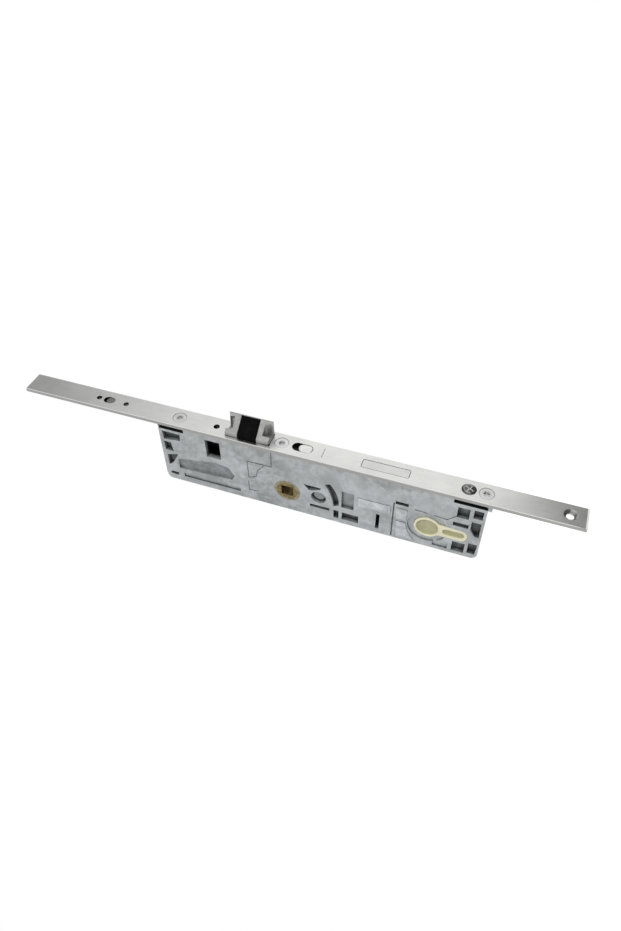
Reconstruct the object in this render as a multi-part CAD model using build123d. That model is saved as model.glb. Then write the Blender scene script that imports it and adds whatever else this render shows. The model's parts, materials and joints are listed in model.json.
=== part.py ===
from build123d import *
from math import acos, cos, pi, radians, sin, sqrt, tan
import os

# Centre module of a key-operated multipoint door lock for narrow profile doors.
# The origin is on the faceplate's front face, level with the spindle and midway across the strip.
# +X points out of the door's edge, +Z up the door, and -Y is the side with the cast pockets.
# "down" is measured from the spindle towards the threshold, "deep" from the faceplate's front
# into the door, and "near" from the middle of the lock towards the side with the pockets.
# All sizes are in millimetres.

# Main sizes
backset = 35.0
centres = 92.0
spindle_square = 8.1
strip_width = 16.0
strip_thickness = 2.5
strip_above = 186.0
strip_below = 179.0
strip_edge = 0.35
case_above = 88.5
case_behind_spindle = 18.0
case_thickness = 14.0

# Gaps
slip_gap = 0.05
side_gap = 0.15
free_gap = 0.3
overrun = 1.0

# Case
cover_thickness = 1.5
near_wall = 3.6
thin_wall = 1.4
back_wall = 2.0
upper_block = 17.0
lower_room = 12.3
rod_mouth_upper = 18.0
rod_mouth_lower = 20.0
case_corner_upper = 4.0
case_corner_lower = 7.0
end_lip = 2.2
pocket_deep = 3.0
pocket_middle = 2.0
pocket_shallow = 0.9
engraving_width = 0.8
engraving_depth = 0.4
pad_height = 0.4
rib_thickness = 1.8
rib_reach = 13.5

# Drive rods and the slide between them
rod_width = 10.0
rod_thickness = 2.8
rod_gap = 0.2
rod_stroke = 20.0
upper_rod_short = 24.0
lower_rod_short = 19.0
rod_slot_gap = 0.4
upper_rod_past = 0.9
slide_thickness = 1.8
slide_band = 7.3
tab_length = 5.0
upper_tab_down = -51.0
lower_tab_below = 9.0
lower_rod_below = 7.0
slide_edge = 5.7
slide_shoulder = 0.8

# Latch
latch_length = 29.3
latch_bottom = 12.0
latch_width = 10.6
latch_reach = 11.0
latch_shoulder = 2.8
latch_tip = 0.9
latch_inside = 3.0
latch_heel = 6.0
latch_heel_width = 6.0
latch_heel_length = 16.0
latch_clearance = 0.35
insert_length = 12.8
insert_thickness = 2.4
insert_proud = 0.15
cheek_pocket_depth = 2.2
cheek_wall = 1.6
tail_width = 10.0
tail_thickness = 2.0
tail_far = 2.7
hook_thickness = 3.0
hook_gap = 0.4
hook_length = 6.5

# Hub
hub_swing = 40.0
hub_radius = 7.0
hub_disc_radius = 9.5
hub_disc_thickness = 6.2
hub_arm_width = 5.2
hub_proud = 0.1
bush_radius = 8.8
bush_proud = 0.15
return_arm = 13.5

# Springs
spring_wire = 0.8
spring_radius = 2.4
spring_turns = 6
spring_rod_radius = 1.6
spring_seat = 3.0
latch_spring_down = -33.0
latch_spring_length = 24.0
hub_spring_length = 20.0
detent_wire = 0.5
detent_radius = 1.5
detent_turns = 4

# Deadbolt
bolt_length = 29.3
bolt_above_cylinder = 15.85
bolt_width = 6.4
bolt_depth = 35.0
bolt_gap = 0.3
bolt_corner = 0.8
bolt_pin_radius = 2.0
bolt_pin_above = 22.15
bolt_pin_deep = 30.5
bolt_relief = 2.0

# Toothed wheel and rack
key_turns = 2
star_notches = 4
pinion_teeth = 12
pinion_deep = 16.2
pressure_angle = 25.0
tooth_play = 0.16
addendum_share = 0.9
dedendum_share = 1.2
pinion_pin_radius = 2.0
star_radius = 7.2
star_thickness = 5.6
notch_radius = 2.4
rack_margin = 6.0

# Snib
snib_slot_top = 1.8
snib_slot_length = 13.5
snib_slot_width = 7.0
snib_travel = 4.0
snib_length = 9.2
snib_width = 6.4
snib_proud = 0.1
snib_plate_length = 14.5
snib_plate_width = 9.2
snib_plate_thickness = 1.9
snib_shelf = 1.5

# Screws, pins and holes
case_screw_radius = 2.5
case_screw_head = 4.4
case_screw_length = 16.0
case_screw_sink = 0.2
case_screw_upper = 13.1
case_screw_middle = -5.2
case_screw_spacing = 10.3
case_screw_lower = 3.1
socket_radius = 1.9
socket_depth = 1.6
cylinder_screw_below = 19.6
cylinder_screw_radius = 2.4
cylinder_screw_head = 4.6
cylinder_screw_dome = 1.3
cylinder_screw_past = 2.0
cross_width = 1.1
cross_depth = 1.0
cover_screw_radius = 1.5
cover_screw_head = 2.7
cover_screw_length = 9.0
fixing_hole_above = 9.8
fixing_hole_radius = 2.3
fixing_hole_head = 4.1
fixing_hole_land = 1.0
service_hole_down = -49.4
service_hole_radius = 2.0
small_holes_down = (-134.3, -114.4)
small_hole_radius = 1.8
stud_slot_down = -126.7
stud_slot_length = 8.0
stud_slot_width = 5.6
stud_head_length = 5.9
stud_radius = 1.9
stud_flange_radius = 4.0
stud_flange = 1.0
strip_line_down = 22.0
strip_line_depth = 0.3
strip_line_width = 0.5
guide_pin_radius = 1.9
guide_slot_gap = 0.2

# Detent
detent_above_bolt = 10.85
detent_ball_radius = 2.0
detent_bite = 0.5
detent_wall = 1.5

# Cylinder opening and its transport plug
profile_radius = 8.6
profile_leg_width = 10.0
profile_leg_end = 25.2
plug_gap = 0.15
plug_proud = 0.35
plug_wall = 2.3
plug_recess = 3.2
plug_neck = 8.0
cam_radius = 15.6
halo_radius = 12.6

# Places on the case's near side, as shares of its length from the upper end and of its depth
# from the faceplate's back
end_pocket_shares = [
    [(0.010, 0.119), (0.071, 0.123), (0.068, 0.234), (0.013, 0.263)],
    [(0.011, 0.299), (0.035, 0.305), (0.036, 0.461), (0.012, 0.457)],
    [(0.014, 0.549), (0.052, 0.503), (0.027, 0.701), (0.013, 0.741)],
    [(0.965, 0.337), (0.992, 0.337), (0.993, 0.590), (0.981, 0.590), (0.965, 0.485)],
]
deep_box_shares = [
    (0.014, 0.042, 0.857, 0.913),
    (0.562, 0.578, 0.782, 0.921),
    (0.588, 0.640, 0.788, 0.921),
    (0.747, 0.785, 0.313, 0.364),
    (0.921, 0.955, 0.137, 0.315),
    (0.966, 0.992, 0.127, 0.267),
    (0.923, 0.960, 0.772, 0.945),
    (0.969, 0.994, 0.733, 0.921),
]
middle_box_shares = [
    (0.586, 0.624, 0.396, 0.691),
    (0.915, 0.959, 0.410, 0.477),
]
shallow_box_shares = [
    (0.062, 0.257, 0.842, 0.903),
    (0.867, 0.911, 0.851, 0.945),
    (0.741, 0.745, 0.347, 0.972),
]
pad_box_shares = [
    (0.637, 0.734, 0.430, 0.574),
    (0.751, 0.783, 0.426, 0.616),
]
window_shares = [
    (0.154, 0.202, 0.093, 0.392),
    (0.487, 0.549, 0.778, 0.824),
    (0.693, 0.704, 0.644, 0.913),
]
wing_shares = [(0.467, 0.440), (0.522, 0.440), (0.519, 0.477), (0.494, 0.521), (0.484, 0.527)]
scoop_shares = [
    (0.049, 0.604), (0.059, 0.578), (0.178, 0.481), (0.222, 0.511),
    (0.240, 0.636), (0.230, 0.729), (0.049, 0.766),
]
corner_pad_shares = [(0.753, 0.663), (0.782, 0.663), (0.789, 0.802), (0.810, 0.952), (0.757, 0.964)]
arc_window_shares = [
    (0.550, 0.323), (0.570, 0.465), (0.578, 0.673), (0.562, 0.709), (0.554, 0.549), (0.534, 0.347),
]
round_pocket_share = (0.514, 0.624)
round_pocket_radius = 5.1
round_pocket_core = 3.6
engraved_line_shares = [
    [(0.289, 0.285), (0.290, 0.580), (0.314, 0.535), (0.322, 0.400), (0.343, 0.295)],
    [(0.287, 0.287), (0.367, 0.279), (0.368, 0.020)],
    [(0.288, 0.659), (0.288, 0.816), (0.316, 0.810)],
    [(0.804, 0.376), (0.897, 0.406), (0.922, 0.299)],
]
cover_screw_shares = [
    (0.037, 0.376), (0.037, 0.861), (0.246, 0.891), (0.461, 0.901),
    (0.658, 0.871), (0.979, 0.366), (0.979, 0.861),
]

# Worked-out sizes
cylinder_screw_down = centres + cylinder_screw_below
case_below = cylinder_screw_down + case_screw_spacing + case_screw_lower
case_back = backset + case_behind_spindle
case_screws_down = (case_screw_upper - case_above, case_screw_middle, case_below - case_screw_lower)
fixing_hole_down = strip_below - fixing_hole_above
upper_rod_top = strip_above - upper_rod_short
lower_rod_end = strip_below - lower_rod_short
lower_tab_down = centres + lower_tab_below
lower_rod_start = centres + lower_rod_below
near_face = case_thickness / 2
far_face = -near_face
cover_inside = far_face + cover_thickness
floor = near_face - near_wall
deep_floor = near_face - thin_wall
rod_front = strip_thickness + rod_gap
rod_back = rod_front + rod_thickness
block_front = rod_back + free_gap
case_length = case_above + case_below
case_depth = case_back - strip_thickness
cavity_top = -case_above + upper_block
cavity_bottom = centres + lower_room
slide_far = cover_inside + side_gap
slide_near = slide_far + slide_thickness
inner_far = slide_near + free_gap
band_front = latch_inside + latch_reach + 2 * free_gap
band_back = band_front + slide_band
detent_deep = (band_front + band_back) / 2
pitch_radius = rod_stroke / (key_turns * 2 * pi / star_notches)
module = 2 * pitch_radius / pinion_teeth
tooth_tip = addendum_share * module
tooth_root = dedendum_share * module
rack_line = pinion_deep - pitch_radius
swing = radians(hub_swing)
arm_reach = latch_reach / (2 * sin(swing / 2))
arm_tip_down = -arm_reach * cos(swing / 2)
arm_tip_deep = backset - arm_reach * sin(swing / 2)
hook_front = arm_tip_deep + hub_arm_width / 2 + hook_gap
latch_top = -latch_bottom - latch_length
latch_middle = -latch_bottom - latch_length / 2
bolt_bottom = centres - bolt_above_cylinder
bolt_top = bolt_bottom - bolt_length
bolt_pin_down = bolt_bottom - bolt_pin_above
detent_down = bolt_top - detent_above_bolt


def side_plane(near):
    """A plane parallel to the case's sides. Its x runs down, its y deep, and it faces the far side."""
    return Plane(origin=(0, -near, 0), x_dir=(0, 0, -1), z_dir=(0, 1, 0))


def front_plane(deep):
    """A plane parallel to the faceplate. Its x runs down, its y near, and it faces into the door."""
    return Plane(origin=(-deep, 0, 0), x_dir=(0, 0, -1), z_dir=(-1, 0, 0))


def plate(sketch, near, far):
    """A piece with the sketch's outline, seen from the side, between two distances from the middle."""
    plane = side_plane(near)
    return extrude(plane * sketch, amount=near - far, dir=plane.z_dir)


def block(sketch, front, back):
    """A piece with the sketch's outline, seen from the front, between two depths."""
    plane = front_plane(front)
    return extrude(plane * sketch, amount=back - front, dir=plane.z_dir)


def span(low, high, left, right):
    """A rectangle between two places along each of a plane's directions."""
    return Pos((low + high) / 2, (left + right) / 2) * Rectangle(high - low, right - left)


def rounded_span(low, high, left, right, radius):
    """The same rectangle with round corners."""
    return Pos((low + high) / 2, (left + right) / 2) * RectangleRounded(high - low, right - left, radius)


def slot(low, high, middle, width):
    """A slot with round ends along a plane's first direction."""
    return Pos((low + high) / 2, middle) * SlotOverall(high - low, width)


def outline(points):
    """A flat face inside straight lines through the points, whichever way round they are given."""
    turns = [a[0] * b[1] - b[0] * a[1] for a, b in zip(points, points[1:] + points[:1])]
    ordered = points if sum(turns) > 0 else points[::-1]
    return Polygon(*ordered, align=None)


def disc(across, along, radius):
    """A flat disc."""
    return Pos(across, along) * Circle(radius)


def on_case(share):
    """A place on the case's side, down and deep, from its shares of the case."""
    return (-case_above + share[0] * case_length, strip_thickness + share[1] * case_depth)


def case_box(shares):
    """A rectangle on the case's side from the shares of its ends and edges."""
    low, front = on_case((shares[0], shares[2]))
    high, back = on_case((shares[1], shares[3]))
    return span(low, high, front, back)


def case_shape(shares):
    """An outline on the case's side from the shares of its corners."""
    return outline([on_case(share) for share in shares])


def line_shape(shares, width):
    """Narrow strips along the lines between places on the case's side."""
    strips = Sketch()
    for first, last in zip(shares, shares[1:]):
        start = Vector(*on_case(first))
        way = Vector(*on_case(last)) - start
        turn = Vector(1, 0).get_signed_angle(way, Vector(0, 0, 1))
        middle = start + way / 2
        strips += Pos(middle.X, middle.Y) * Rot(0, 0, turn) * SlotOverall(way.length + width, width)
    return strips


def profile_hole(grow):
    """The round-and-leg outline of the lock cylinder, grown by a gap."""
    round_part = disc(centres, backset, profile_radius + grow)
    leg_half = profile_leg_width / 2 + grow
    leg_end = centres + profile_leg_end + grow
    leg = span(centres, leg_end - leg_half, backset - leg_half, backset + leg_half)
    return round_part + leg + disc(leg_end - leg_half, backset, leg_half)


def countersunk(down, deep, radius, head, length, sink):
    """A countersunk screw or its hole, driven in from the faceplate's front."""
    frame = front_plane(deep + sink) * Pos(down, 0)
    low = (Align.CENTER, Align.CENTER, Align.MIN)
    cone = frame * Cone(head, radius, head - radius, align=low)
    shank = frame * Cylinder(radius, length, align=low)
    return cone + shank


def biarc(start, start_way, end, end_way):
    """Two arcs that join two places and leave and reach them in given directions."""
    reach = end - start
    ways = start_way + end_way
    spread = 2 * (1 - start_way.dot(end_way))
    run = reach.dot(ways)
    side = (sqrt(run * run + spread * reach.dot(reach)) - run) / spread
    first_corner = start + start_way * side
    last_corner = end - end_way * side
    middle = (first_corner + last_corner) / 2
    middle_way = (last_corner - first_corner).normalized()
    return [TangentArc(start, middle, tangent=start_way), TangentArc(middle, end, tangent=middle_way)]


def coil(radius, wire, length, turns):
    """An open compression spring along +Z, from zero to its length, and its least gap to itself."""
    pitch = (length - wire) / turns
    climb = pitch / (2 * pi)

    def place(angle):
        return Vector(radius * cos(angle), radius * sin(angle), wire / 2 + climb * angle)

    def way(angle):
        return Vector(-radius * sin(angle), radius * cos(angle), climb).normalized()

    edges = []
    for half in range(2 * turns):
        edges += biarc(place(half * pi), way(half * pi), place((half + 1) * pi), way((half + 1) * pi))
    path = Wire([arc.edge() for arc in edges])
    section = Plane(origin=place(0), z_dir=way(0)) * Circle(wire / 2)
    gap = pitch * radius / sqrt(radius * radius + climb * climb) - wire
    return sweep(section, path=path), gap


def strip_cuts():
    """Everything that goes through the faceplate, seen from the front."""
    half_slot = snib_slot_width / 2
    latch_half = latch_width / 2 + latch_clearance
    bolt_half = bolt_width / 2 + bolt_gap
    cuts = rounded_span(latch_top - latch_clearance, -latch_bottom + latch_clearance,
                        -latch_half, latch_half, latch_clearance)
    cuts += rounded_span(bolt_top - bolt_gap, bolt_bottom + bolt_gap, -bolt_half, bolt_half,
                         bolt_corner + bolt_gap)
    cuts += slot(snib_slot_top, snib_slot_top + snib_slot_length, 0, 2 * half_slot)
    cuts += disc(service_hole_down, 0, service_hole_radius)
    cuts += Pos(stud_slot_down, 0) * SlotOverall(stud_slot_length, stud_slot_width)
    for down in small_holes_down:
        cuts += disc(down, 0, small_hole_radius)
    return cuts


def make_faceplate():
    half = strip_width / 2
    strip = block(span(-strip_above, strip_below, -half, half), 0, strip_thickness)
    front_edges = strip.faces().sort_by(Axis.X)[-1].edges().filter_by(Axis.Z)
    strip = chamfer(front_edges, strip_edge)
    strip -= block(strip_cuts(), -overrun, strip_thickness + overrun)
    for down in case_screws_down:
        strip -= countersunk(down, 0, case_screw_radius, case_screw_head, strip_thickness + overrun,
                             case_screw_sink)
        strip -= block(disc(down, 0, case_screw_head), -overrun, case_screw_sink)
    strip -= countersunk(cylinder_screw_down, 0, cylinder_screw_radius + side_gap,
                         cylinder_screw_head - side_gap, strip_thickness + overrun, 0)
    sink = strip_thickness - fixing_hole_land
    low = (Align.CENTER, Align.CENTER, Align.MIN)
    frame = front_plane(0) * Pos(fixing_hole_down, 0)
    strip -= frame * Cone(fixing_hole_head, fixing_hole_radius, sink, align=low)
    strip -= frame * Cylinder(fixing_hole_radius, strip_thickness + overrun, align=low)
    line_half = strip_line_width / 2
    line = span(strip_line_down - line_half, strip_line_down + line_half, -half / 2, half / 2)
    strip -= block(line, -overrun, strip_line_depth)
    return strip


def case_outline():
    """The case seen from the side, with its rounded back corners and the two rod mouths."""
    top = -case_above
    mouth_top = top + rod_mouth_upper
    mouth_bottom = case_below - rod_mouth_lower
    shape = outline([
        (top, block_front), (mouth_top, block_front), (mouth_top, strip_thickness),
        (mouth_bottom, strip_thickness), (mouth_bottom, block_front), (case_below, block_front),
        (case_below, case_back - case_corner_lower), (case_below - case_corner_lower / 2, case_back),
        (top + case_corner_upper / 2, case_back), (top, case_back - case_corner_upper),
    ])
    return shape


def floor_block(low, high, front, back, far=inner_far):
    """A cast rib or block that stands on the case's floor."""
    return plate(span(low, high, front, back), deep_floor, far)


def cast_inside():
    """The hollow of the case: the main room, the deeper rooms in its floor and the rack's channel."""
    mouth_top = -case_above + rod_mouth_upper
    mouth_bottom = case_below - rod_mouth_lower
    rod_half = rod_width / 2 + free_gap
    room = span(cavity_top, cavity_bottom, strip_thickness - overrun, case_back - back_wall)
    hollow = plate(room, floor, cover_inside - overrun)
    latch_room = span(latch_top - free_gap, -latch_bottom + free_gap, strip_thickness - overrun, band_front)
    hollow += plate(latch_room, latch_width / 2 + free_gap, cover_inside)
    upper_rod_room = span(mouth_top, latch_top - free_gap, strip_thickness - overrun, block_front)
    hollow += plate(upper_rod_room, rod_half, cover_inside)
    lower_rod_room = span(lower_rod_start - rod_stroke - free_gap, mouth_bottom,
                          strip_thickness - overrun, block_front)
    hollow += plate(lower_rod_room, rod_half, cover_inside)
    plate_room = span(snib_plate_top() - snib_travel - free_gap,
                      snib_plate_top() + snib_plate_length + free_gap,
                      strip_thickness - overrun, snib_plate_back() + side_gap)
    hollow += plate(plate_room, snib_plate_width / 2 + free_gap, cover_inside)
    hollow += plate(disc(centres, backset, cam_radius), deep_floor - pocket_shallow + free_gap, cover_inside)
    rack_room = span(cavity_bottom - overrun, rack_end() + free_gap, block_front - overrun,
                     rack_line + tooth_tip + free_gap)
    hollow += plate(rack_room, inner_far, cover_inside - overrun)
    return hollow


def cast_ribs():
    """Ribs, posts and seats inside the case."""
    heel = strip_thickness
    ribs = floor_block(latch_top - free_gap - rib_thickness, latch_top - free_gap, heel, rib_reach)
    mid_screw = case_screws_down[1]
    lug = case_screw_radius + rib_thickness
    ribs += floor_block(mid_screw - lug, mid_screw + lug, heel, band_front - free_gap)
    ribs += floor_block(bolt_top - bolt_gap - rib_thickness, bolt_top - bolt_gap, heel, rib_reach)
    ribs += floor_block(bolt_bottom + bolt_gap, bolt_bottom + bolt_gap + rib_thickness, heel, rib_reach)
    shelf_front = snib_plate_back() + side_gap
    ribs += floor_block(mid_screw + lug - overrun, snib_slot_top + snib_slot_length + snib_plate_width,
                        shelf_front, shelf_front + snib_shelf)
    seat_half = spring_radius + spring_wire
    post_front = latch_inside + latch_spring_length
    ribs += floor_block(latch_spring_down - seat_half, latch_spring_down + seat_half,
                        post_front, post_front + spring_seat)
    seat_back = backset - hub_arm_width / 2 - hub_spring_length
    ribs += floor_block(return_arm - seat_half, return_arm + seat_half, seat_back - spring_seat, seat_back)
    detent_boss = disc(detent_down, detent_deep, detent_ball_radius + detent_wall)
    ribs += plate(detent_boss, deep_floor, inner_far)
    for share in cover_screw_shares:
        down, deep = on_case(share)
        ribs += plate(disc(down, deep, cover_screw_head + slip_gap), deep_floor, cover_inside)
    return ribs


def cast_outside():
    """The pockets, windows and lines on the case's near side."""
    top = near_face + overrun
    cuts = plate(disc(centres, backset, halo_radius), top, near_face - pocket_shallow)
    for shares in end_pocket_shares:
        cuts += plate(case_shape(shares), top, near_face - pocket_deep)
    for shares in deep_box_shares:
        cuts += plate(case_box(shares), top, near_face - pocket_deep)
    for shares in middle_box_shares:
        cuts += plate(case_box(shares), top, near_face - pocket_middle)
    for shares in shallow_box_shares:
        cuts += plate(case_box(shares), top, near_face - pocket_shallow)
    for shares in window_shares:
        cuts += plate(case_box(shares), top, floor - overrun)
    cuts += plate(case_shape(wing_shares), top, near_face - pocket_deep)
    cuts += plate(case_shape(scoop_shares), top, near_face - pocket_middle)
    cuts += plate(arc_window(), top, near_face - pocket_deep)
    down, deep = on_case(round_pocket_share)
    ring = disc(down, deep, round_pocket_radius) - disc(down, deep, round_pocket_core)
    cuts += plate(ring, top, near_face - pocket_deep)
    cuts += plate(disc(down, deep, round_pocket_core), top, near_face - pocket_middle)
    for shares in engraved_line_shares:
        cuts += plate(line_shape(shares, engraving_width), top, near_face - engraving_depth)
    return cuts


def arc_window():
    """The curved pocket beside the hub, between two arcs."""
    corners = [on_case(share) for share in arc_window_shares]
    edges = [
        ThreePointArc(corners[0], corners[1], corners[2]),
        Line(corners[2], corners[3]),
        ThreePointArc(corners[3], corners[4], corners[5]),
        Line(corners[5], corners[0]),
    ]
    return make_face(Wire([part.edge() for part in edges]))


def cast_pads():
    """The slightly raised flats on the near side."""
    pads = plate(case_shape(corner_pad_shares), near_face + pad_height, near_face - pad_height)
    for shares in pad_box_shares:
        pads += plate(case_box(shares), near_face + pad_height, near_face - pad_height)
    return pads


def cast_holes():
    """Bores and screw holes through the case."""
    top = near_face + pad_height + overrun
    holes = plate(disc(0, backset, bush_radius), top, cover_inside - overrun)
    holes += plate(profile_hole(0), top, cover_inside - overrun)
    for down in case_screws_down:
        holes += block(disc(down, 0, case_screw_radius), strip_thickness - overrun,
                       case_screw_length + overrun)
    holes += block(disc(cylinder_screw_down, 0, cylinder_screw_radius + side_gap),
                   strip_thickness - overrun, backset)
    spring_hole = disc(latch_spring_down, 0, spring_rod_radius + side_gap)
    holes += block(spring_hole, latch_inside + latch_spring_length - overrun,
                   latch_inside + latch_spring_length + spring_seat + overrun)
    holes += plate(disc(centres, pinion_deep, pinion_pin_radius), pin_seat(), cover_inside - overrun)
    holes += plate(disc(guide_pin_down(), detent_deep, guide_pin_radius), pin_seat(), cover_inside - overrun)
    holes += plate(disc(detent_down, detent_deep, detent_ball_radius + slip_gap), pin_seat(),
                   inner_far - overrun)
    for share in cover_screw_shares:
        down, deep = on_case(share)
        holes += plate(disc(down, deep, cover_screw_radius), far_face + cover_screw_length,
                       cover_inside - overrun)
    return holes


def make_case_body():
    shell = plate(case_outline(), near_face, cover_inside)
    lip = plate(span(case_below - overrun, case_below + end_lip, strip_thickness + slip_gap,
                     block_front + overrun), near_face, rod_width / 2 + free_gap)
    lip += plate(span(-case_above, -case_above + end_lip, strip_thickness + slip_gap,
                      block_front + overrun), near_face, rod_width / 2 + free_gap)
    body = shell - cast_inside()
    body += cast_ribs()
    body += lip
    body += cast_pads()
    body -= cast_outside()
    body -= cast_holes()
    return body


def make_case_cover():
    cover = plate(case_outline(), cover_inside, far_face)
    cover -= plate(disc(0, backset, bush_radius), cover_inside + overrun, far_face - overrun)
    cover -= plate(profile_hole(0), cover_inside + overrun, far_face - overrun)
    cover -= plate(disc(centres, pinion_deep, pinion_pin_radius), cover_inside + overrun, far_face - overrun)
    cover -= plate(disc(guide_pin_down(), detent_deep, guide_pin_radius), cover_inside + overrun,
                   far_face - overrun)
    low = (Align.CENTER, Align.CENTER, Align.MAX)
    for share in cover_screw_shares:
        frame = side_plane(far_face) * Pos(*on_case(share))
        cover -= frame * Cone(cover_screw_radius, cover_screw_head, cover_screw_head - cover_screw_radius,
                              align=low)
        cover -= frame * Cylinder(cover_screw_radius, cover_thickness + overrun, align=low)
    return cover


def make_cover_screws():
    low = (Align.CENTER, Align.CENTER, Align.MAX)
    screws = []
    for share in cover_screw_shares:
        frame = side_plane(far_face) * Pos(*on_case(share))
        head = Cone(cover_screw_radius, cover_screw_head, cover_screw_head - cover_screw_radius, align=low)
        screw = frame * (head + Cylinder(cover_screw_radius, cover_screw_length, align=low))
        socket = frame * RegularPolygon(cover_screw_radius * 2 / 3, 6)
        screws.append(screw - extrude(socket, amount=cover_screw_radius / 2, both=True))
    return Compound(children=screws)


def make_case_screws():
    screws = []
    for down in case_screws_down:
        screw = countersunk(down, 0, case_screw_radius, case_screw_head, case_screw_length - case_screw_sink,
                            case_screw_sink)
        socket = Pos(down, 0) * RegularPolygon(socket_radius, 6)
        screws.append(screw - block(socket, -overrun, socket_depth))
    return Compound(children=screws)


def make_cylinder_screw():
    low = (Align.CENTER, Align.CENTER, Align.MIN)
    head = cylinder_screw_head - 2 * side_gap
    dome = cylinder_screw_dome
    length = backset + cylinder_screw_past
    screw = countersunk(cylinder_screw_down, 0, cylinder_screw_radius, head, length, 0)
    cap_radius = (head * head + dome * dome) / (2 * dome)
    frame = front_plane(0) * Pos(cylinder_screw_down, 0)
    cap = frame * Pos(0, 0, cap_radius - dome) * Sphere(cap_radius)
    cap &= frame * Cylinder(head, dome, align=(Align.CENTER, Align.CENTER, Align.MAX))
    screw += cap
    bar_size = cross_width / 2
    cross = span(-head * 2 / 3, head * 2 / 3, -bar_size, bar_size)
    cross += span(-bar_size, bar_size, -head * 2 / 3, head * 2 / 3)
    cross = Pos(cylinder_screw_down, 0) * Rot(0, 0, 30) * cross
    screw -= block(cross, -dome - overrun, cross_depth - dome)
    return screw


def make_cylinder_plug():
    """The transport plug: a thin-walled keyhole shape with a floor halfway, recessed from both sides."""
    body = profile_hole(-plug_gap)
    near_end = near_face + plug_proud
    plug = plate(body, near_end, far_face)
    leg_half = profile_leg_width / 2 - plug_gap
    round_recess = disc(centres, backset, profile_radius - plug_gap - plug_wall)
    leg_low = centres + profile_radius + plug_wall / 2
    leg_high = centres + profile_leg_end - plug_gap - plug_wall
    leg_recess = slot(leg_low, leg_high, backset, 2 * (leg_half - plug_wall))
    for recess in (round_recess, leg_recess):
        plug -= plate(recess, near_end + overrun, near_end - plug_recess)
        plug -= plate(recess, far_face + plug_recess, far_face - overrun)
    neck_down = centres + profile_radius - plug_wall / 4
    for side in (-1, 1):
        edge = backset + side * (plug_neck / 2 + plug_wall / 2)
        plug -= plate(disc(neck_down, edge, plug_wall / 2), near_end + overrun, far_face - overrun)
    plug -= block(disc(cylinder_screw_down, 0, cylinder_screw_radius + slip_gap),
                  backset - profile_leg_width, backset + cylinder_screw_past + free_gap)
    return plug


def make_rod_stud():
    low = (Align.CENTER, Align.CENTER, Align.MIN)
    down = stud_slot_down + (stud_slot_length - stud_head_length) / 2
    head = Pos(down, 0) * SlotOverall(stud_head_length, stud_slot_width)
    stud = block(head, free_gap, strip_thickness)
    stud += front_plane(strip_thickness) * Pos(down, 0) * Cylinder(stud_radius, rod_back + side_gap
                                                                  - strip_thickness, align=low)
    stud += block(disc(down, 0, stud_flange_radius), rod_back + side_gap, rod_back + side_gap + stud_flange)
    return stud


def rod_shape(top, bottom, notch_top, slots):
    """A drive rod seen from the front, with the notch for the slide's tab and its long slots."""
    half = rod_width / 2
    rod = span(top, bottom, -half, half)
    rod -= span(notch_top, notch_top + tab_length, -half - overrun, slide_near)
    for first, last, radius in slots:
        width = 2 * (radius + rod_slot_gap)
        rod -= slot(first - width / 2, last + rod_stroke + width / 2, 0, width)
    return rod


def make_upper_rod():
    stud_down = stud_slot_down + (stud_slot_length - stud_head_length) / 2
    screw_down = case_screws_down[0]
    slots = [(stud_down, stud_down, stud_radius), (screw_down, screw_down, case_screw_radius)]
    rod = rod_shape(-upper_rod_top, upper_tab_down + tab_length + upper_rod_past, upper_tab_down, slots)
    rod -= disc(service_hole_down, 0, service_hole_radius)
    rod -= disc(small_holes_down[0], 0, small_hole_radius)
    for place in range(2):
        rod -= disc(-upper_rod_top + rod_width * (place + 1) - rod_width / 2, 0, small_hole_radius)
    return block(rod, rod_front, rod_back)


def make_lower_rod():
    slots = [(cylinder_screw_down, case_screws_down[2], case_screw_radius)]
    rod = rod_shape(lower_rod_start, lower_rod_end, lower_tab_down, slots)
    rod -= disc(lower_rod_end - rod_width / 2, 0, small_hole_radius)
    return block(rod, rod_front, rod_back)


def rack_end():
    """Where the rack's bar ends, down from the spindle."""
    return centres + rod_stroke + rack_margin + tooth_tip


def slide_outline():
    """The slide seen from the side, without its teeth."""
    bolt_edge = bolt_pin_down + rod_stroke + bolt_pin_radius + bolt_relief + tooth_tip
    latch_edge = latch_top - free_gap - rib_thickness - free_gap
    bolt_back = bolt_pin_deep + bolt_pin_radius + bolt_relief
    root_line = rack_line - tooth_root
    return outline([
        (upper_tab_down, rod_front), (upper_tab_down + tab_length, rod_front),
        (upper_tab_down + tab_length, slide_edge), (latch_edge, slide_edge), (latch_edge, band_front),
        (bolt_top + slide_shoulder, band_front), (bolt_top + slide_shoulder, slide_edge),
        (lower_tab_down, slide_edge), (lower_tab_down, rod_front), (lower_tab_down + tab_length, rod_front),
        (lower_tab_down + tab_length, slide_edge), (rack_end(), slide_edge), (rack_end(), root_line),
        (bolt_edge, root_line), (bolt_edge, bolt_pin_deep - rod_stroke + bolt_pin_radius + bolt_relief),
        (bolt_pin_down + bolt_pin_radius + 2 * bolt_relief, bolt_back),
        (bolt_top + slide_shoulder, bolt_back), (bolt_top + slide_shoulder, band_back),
        (upper_tab_down, band_back),
    ])


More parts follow.
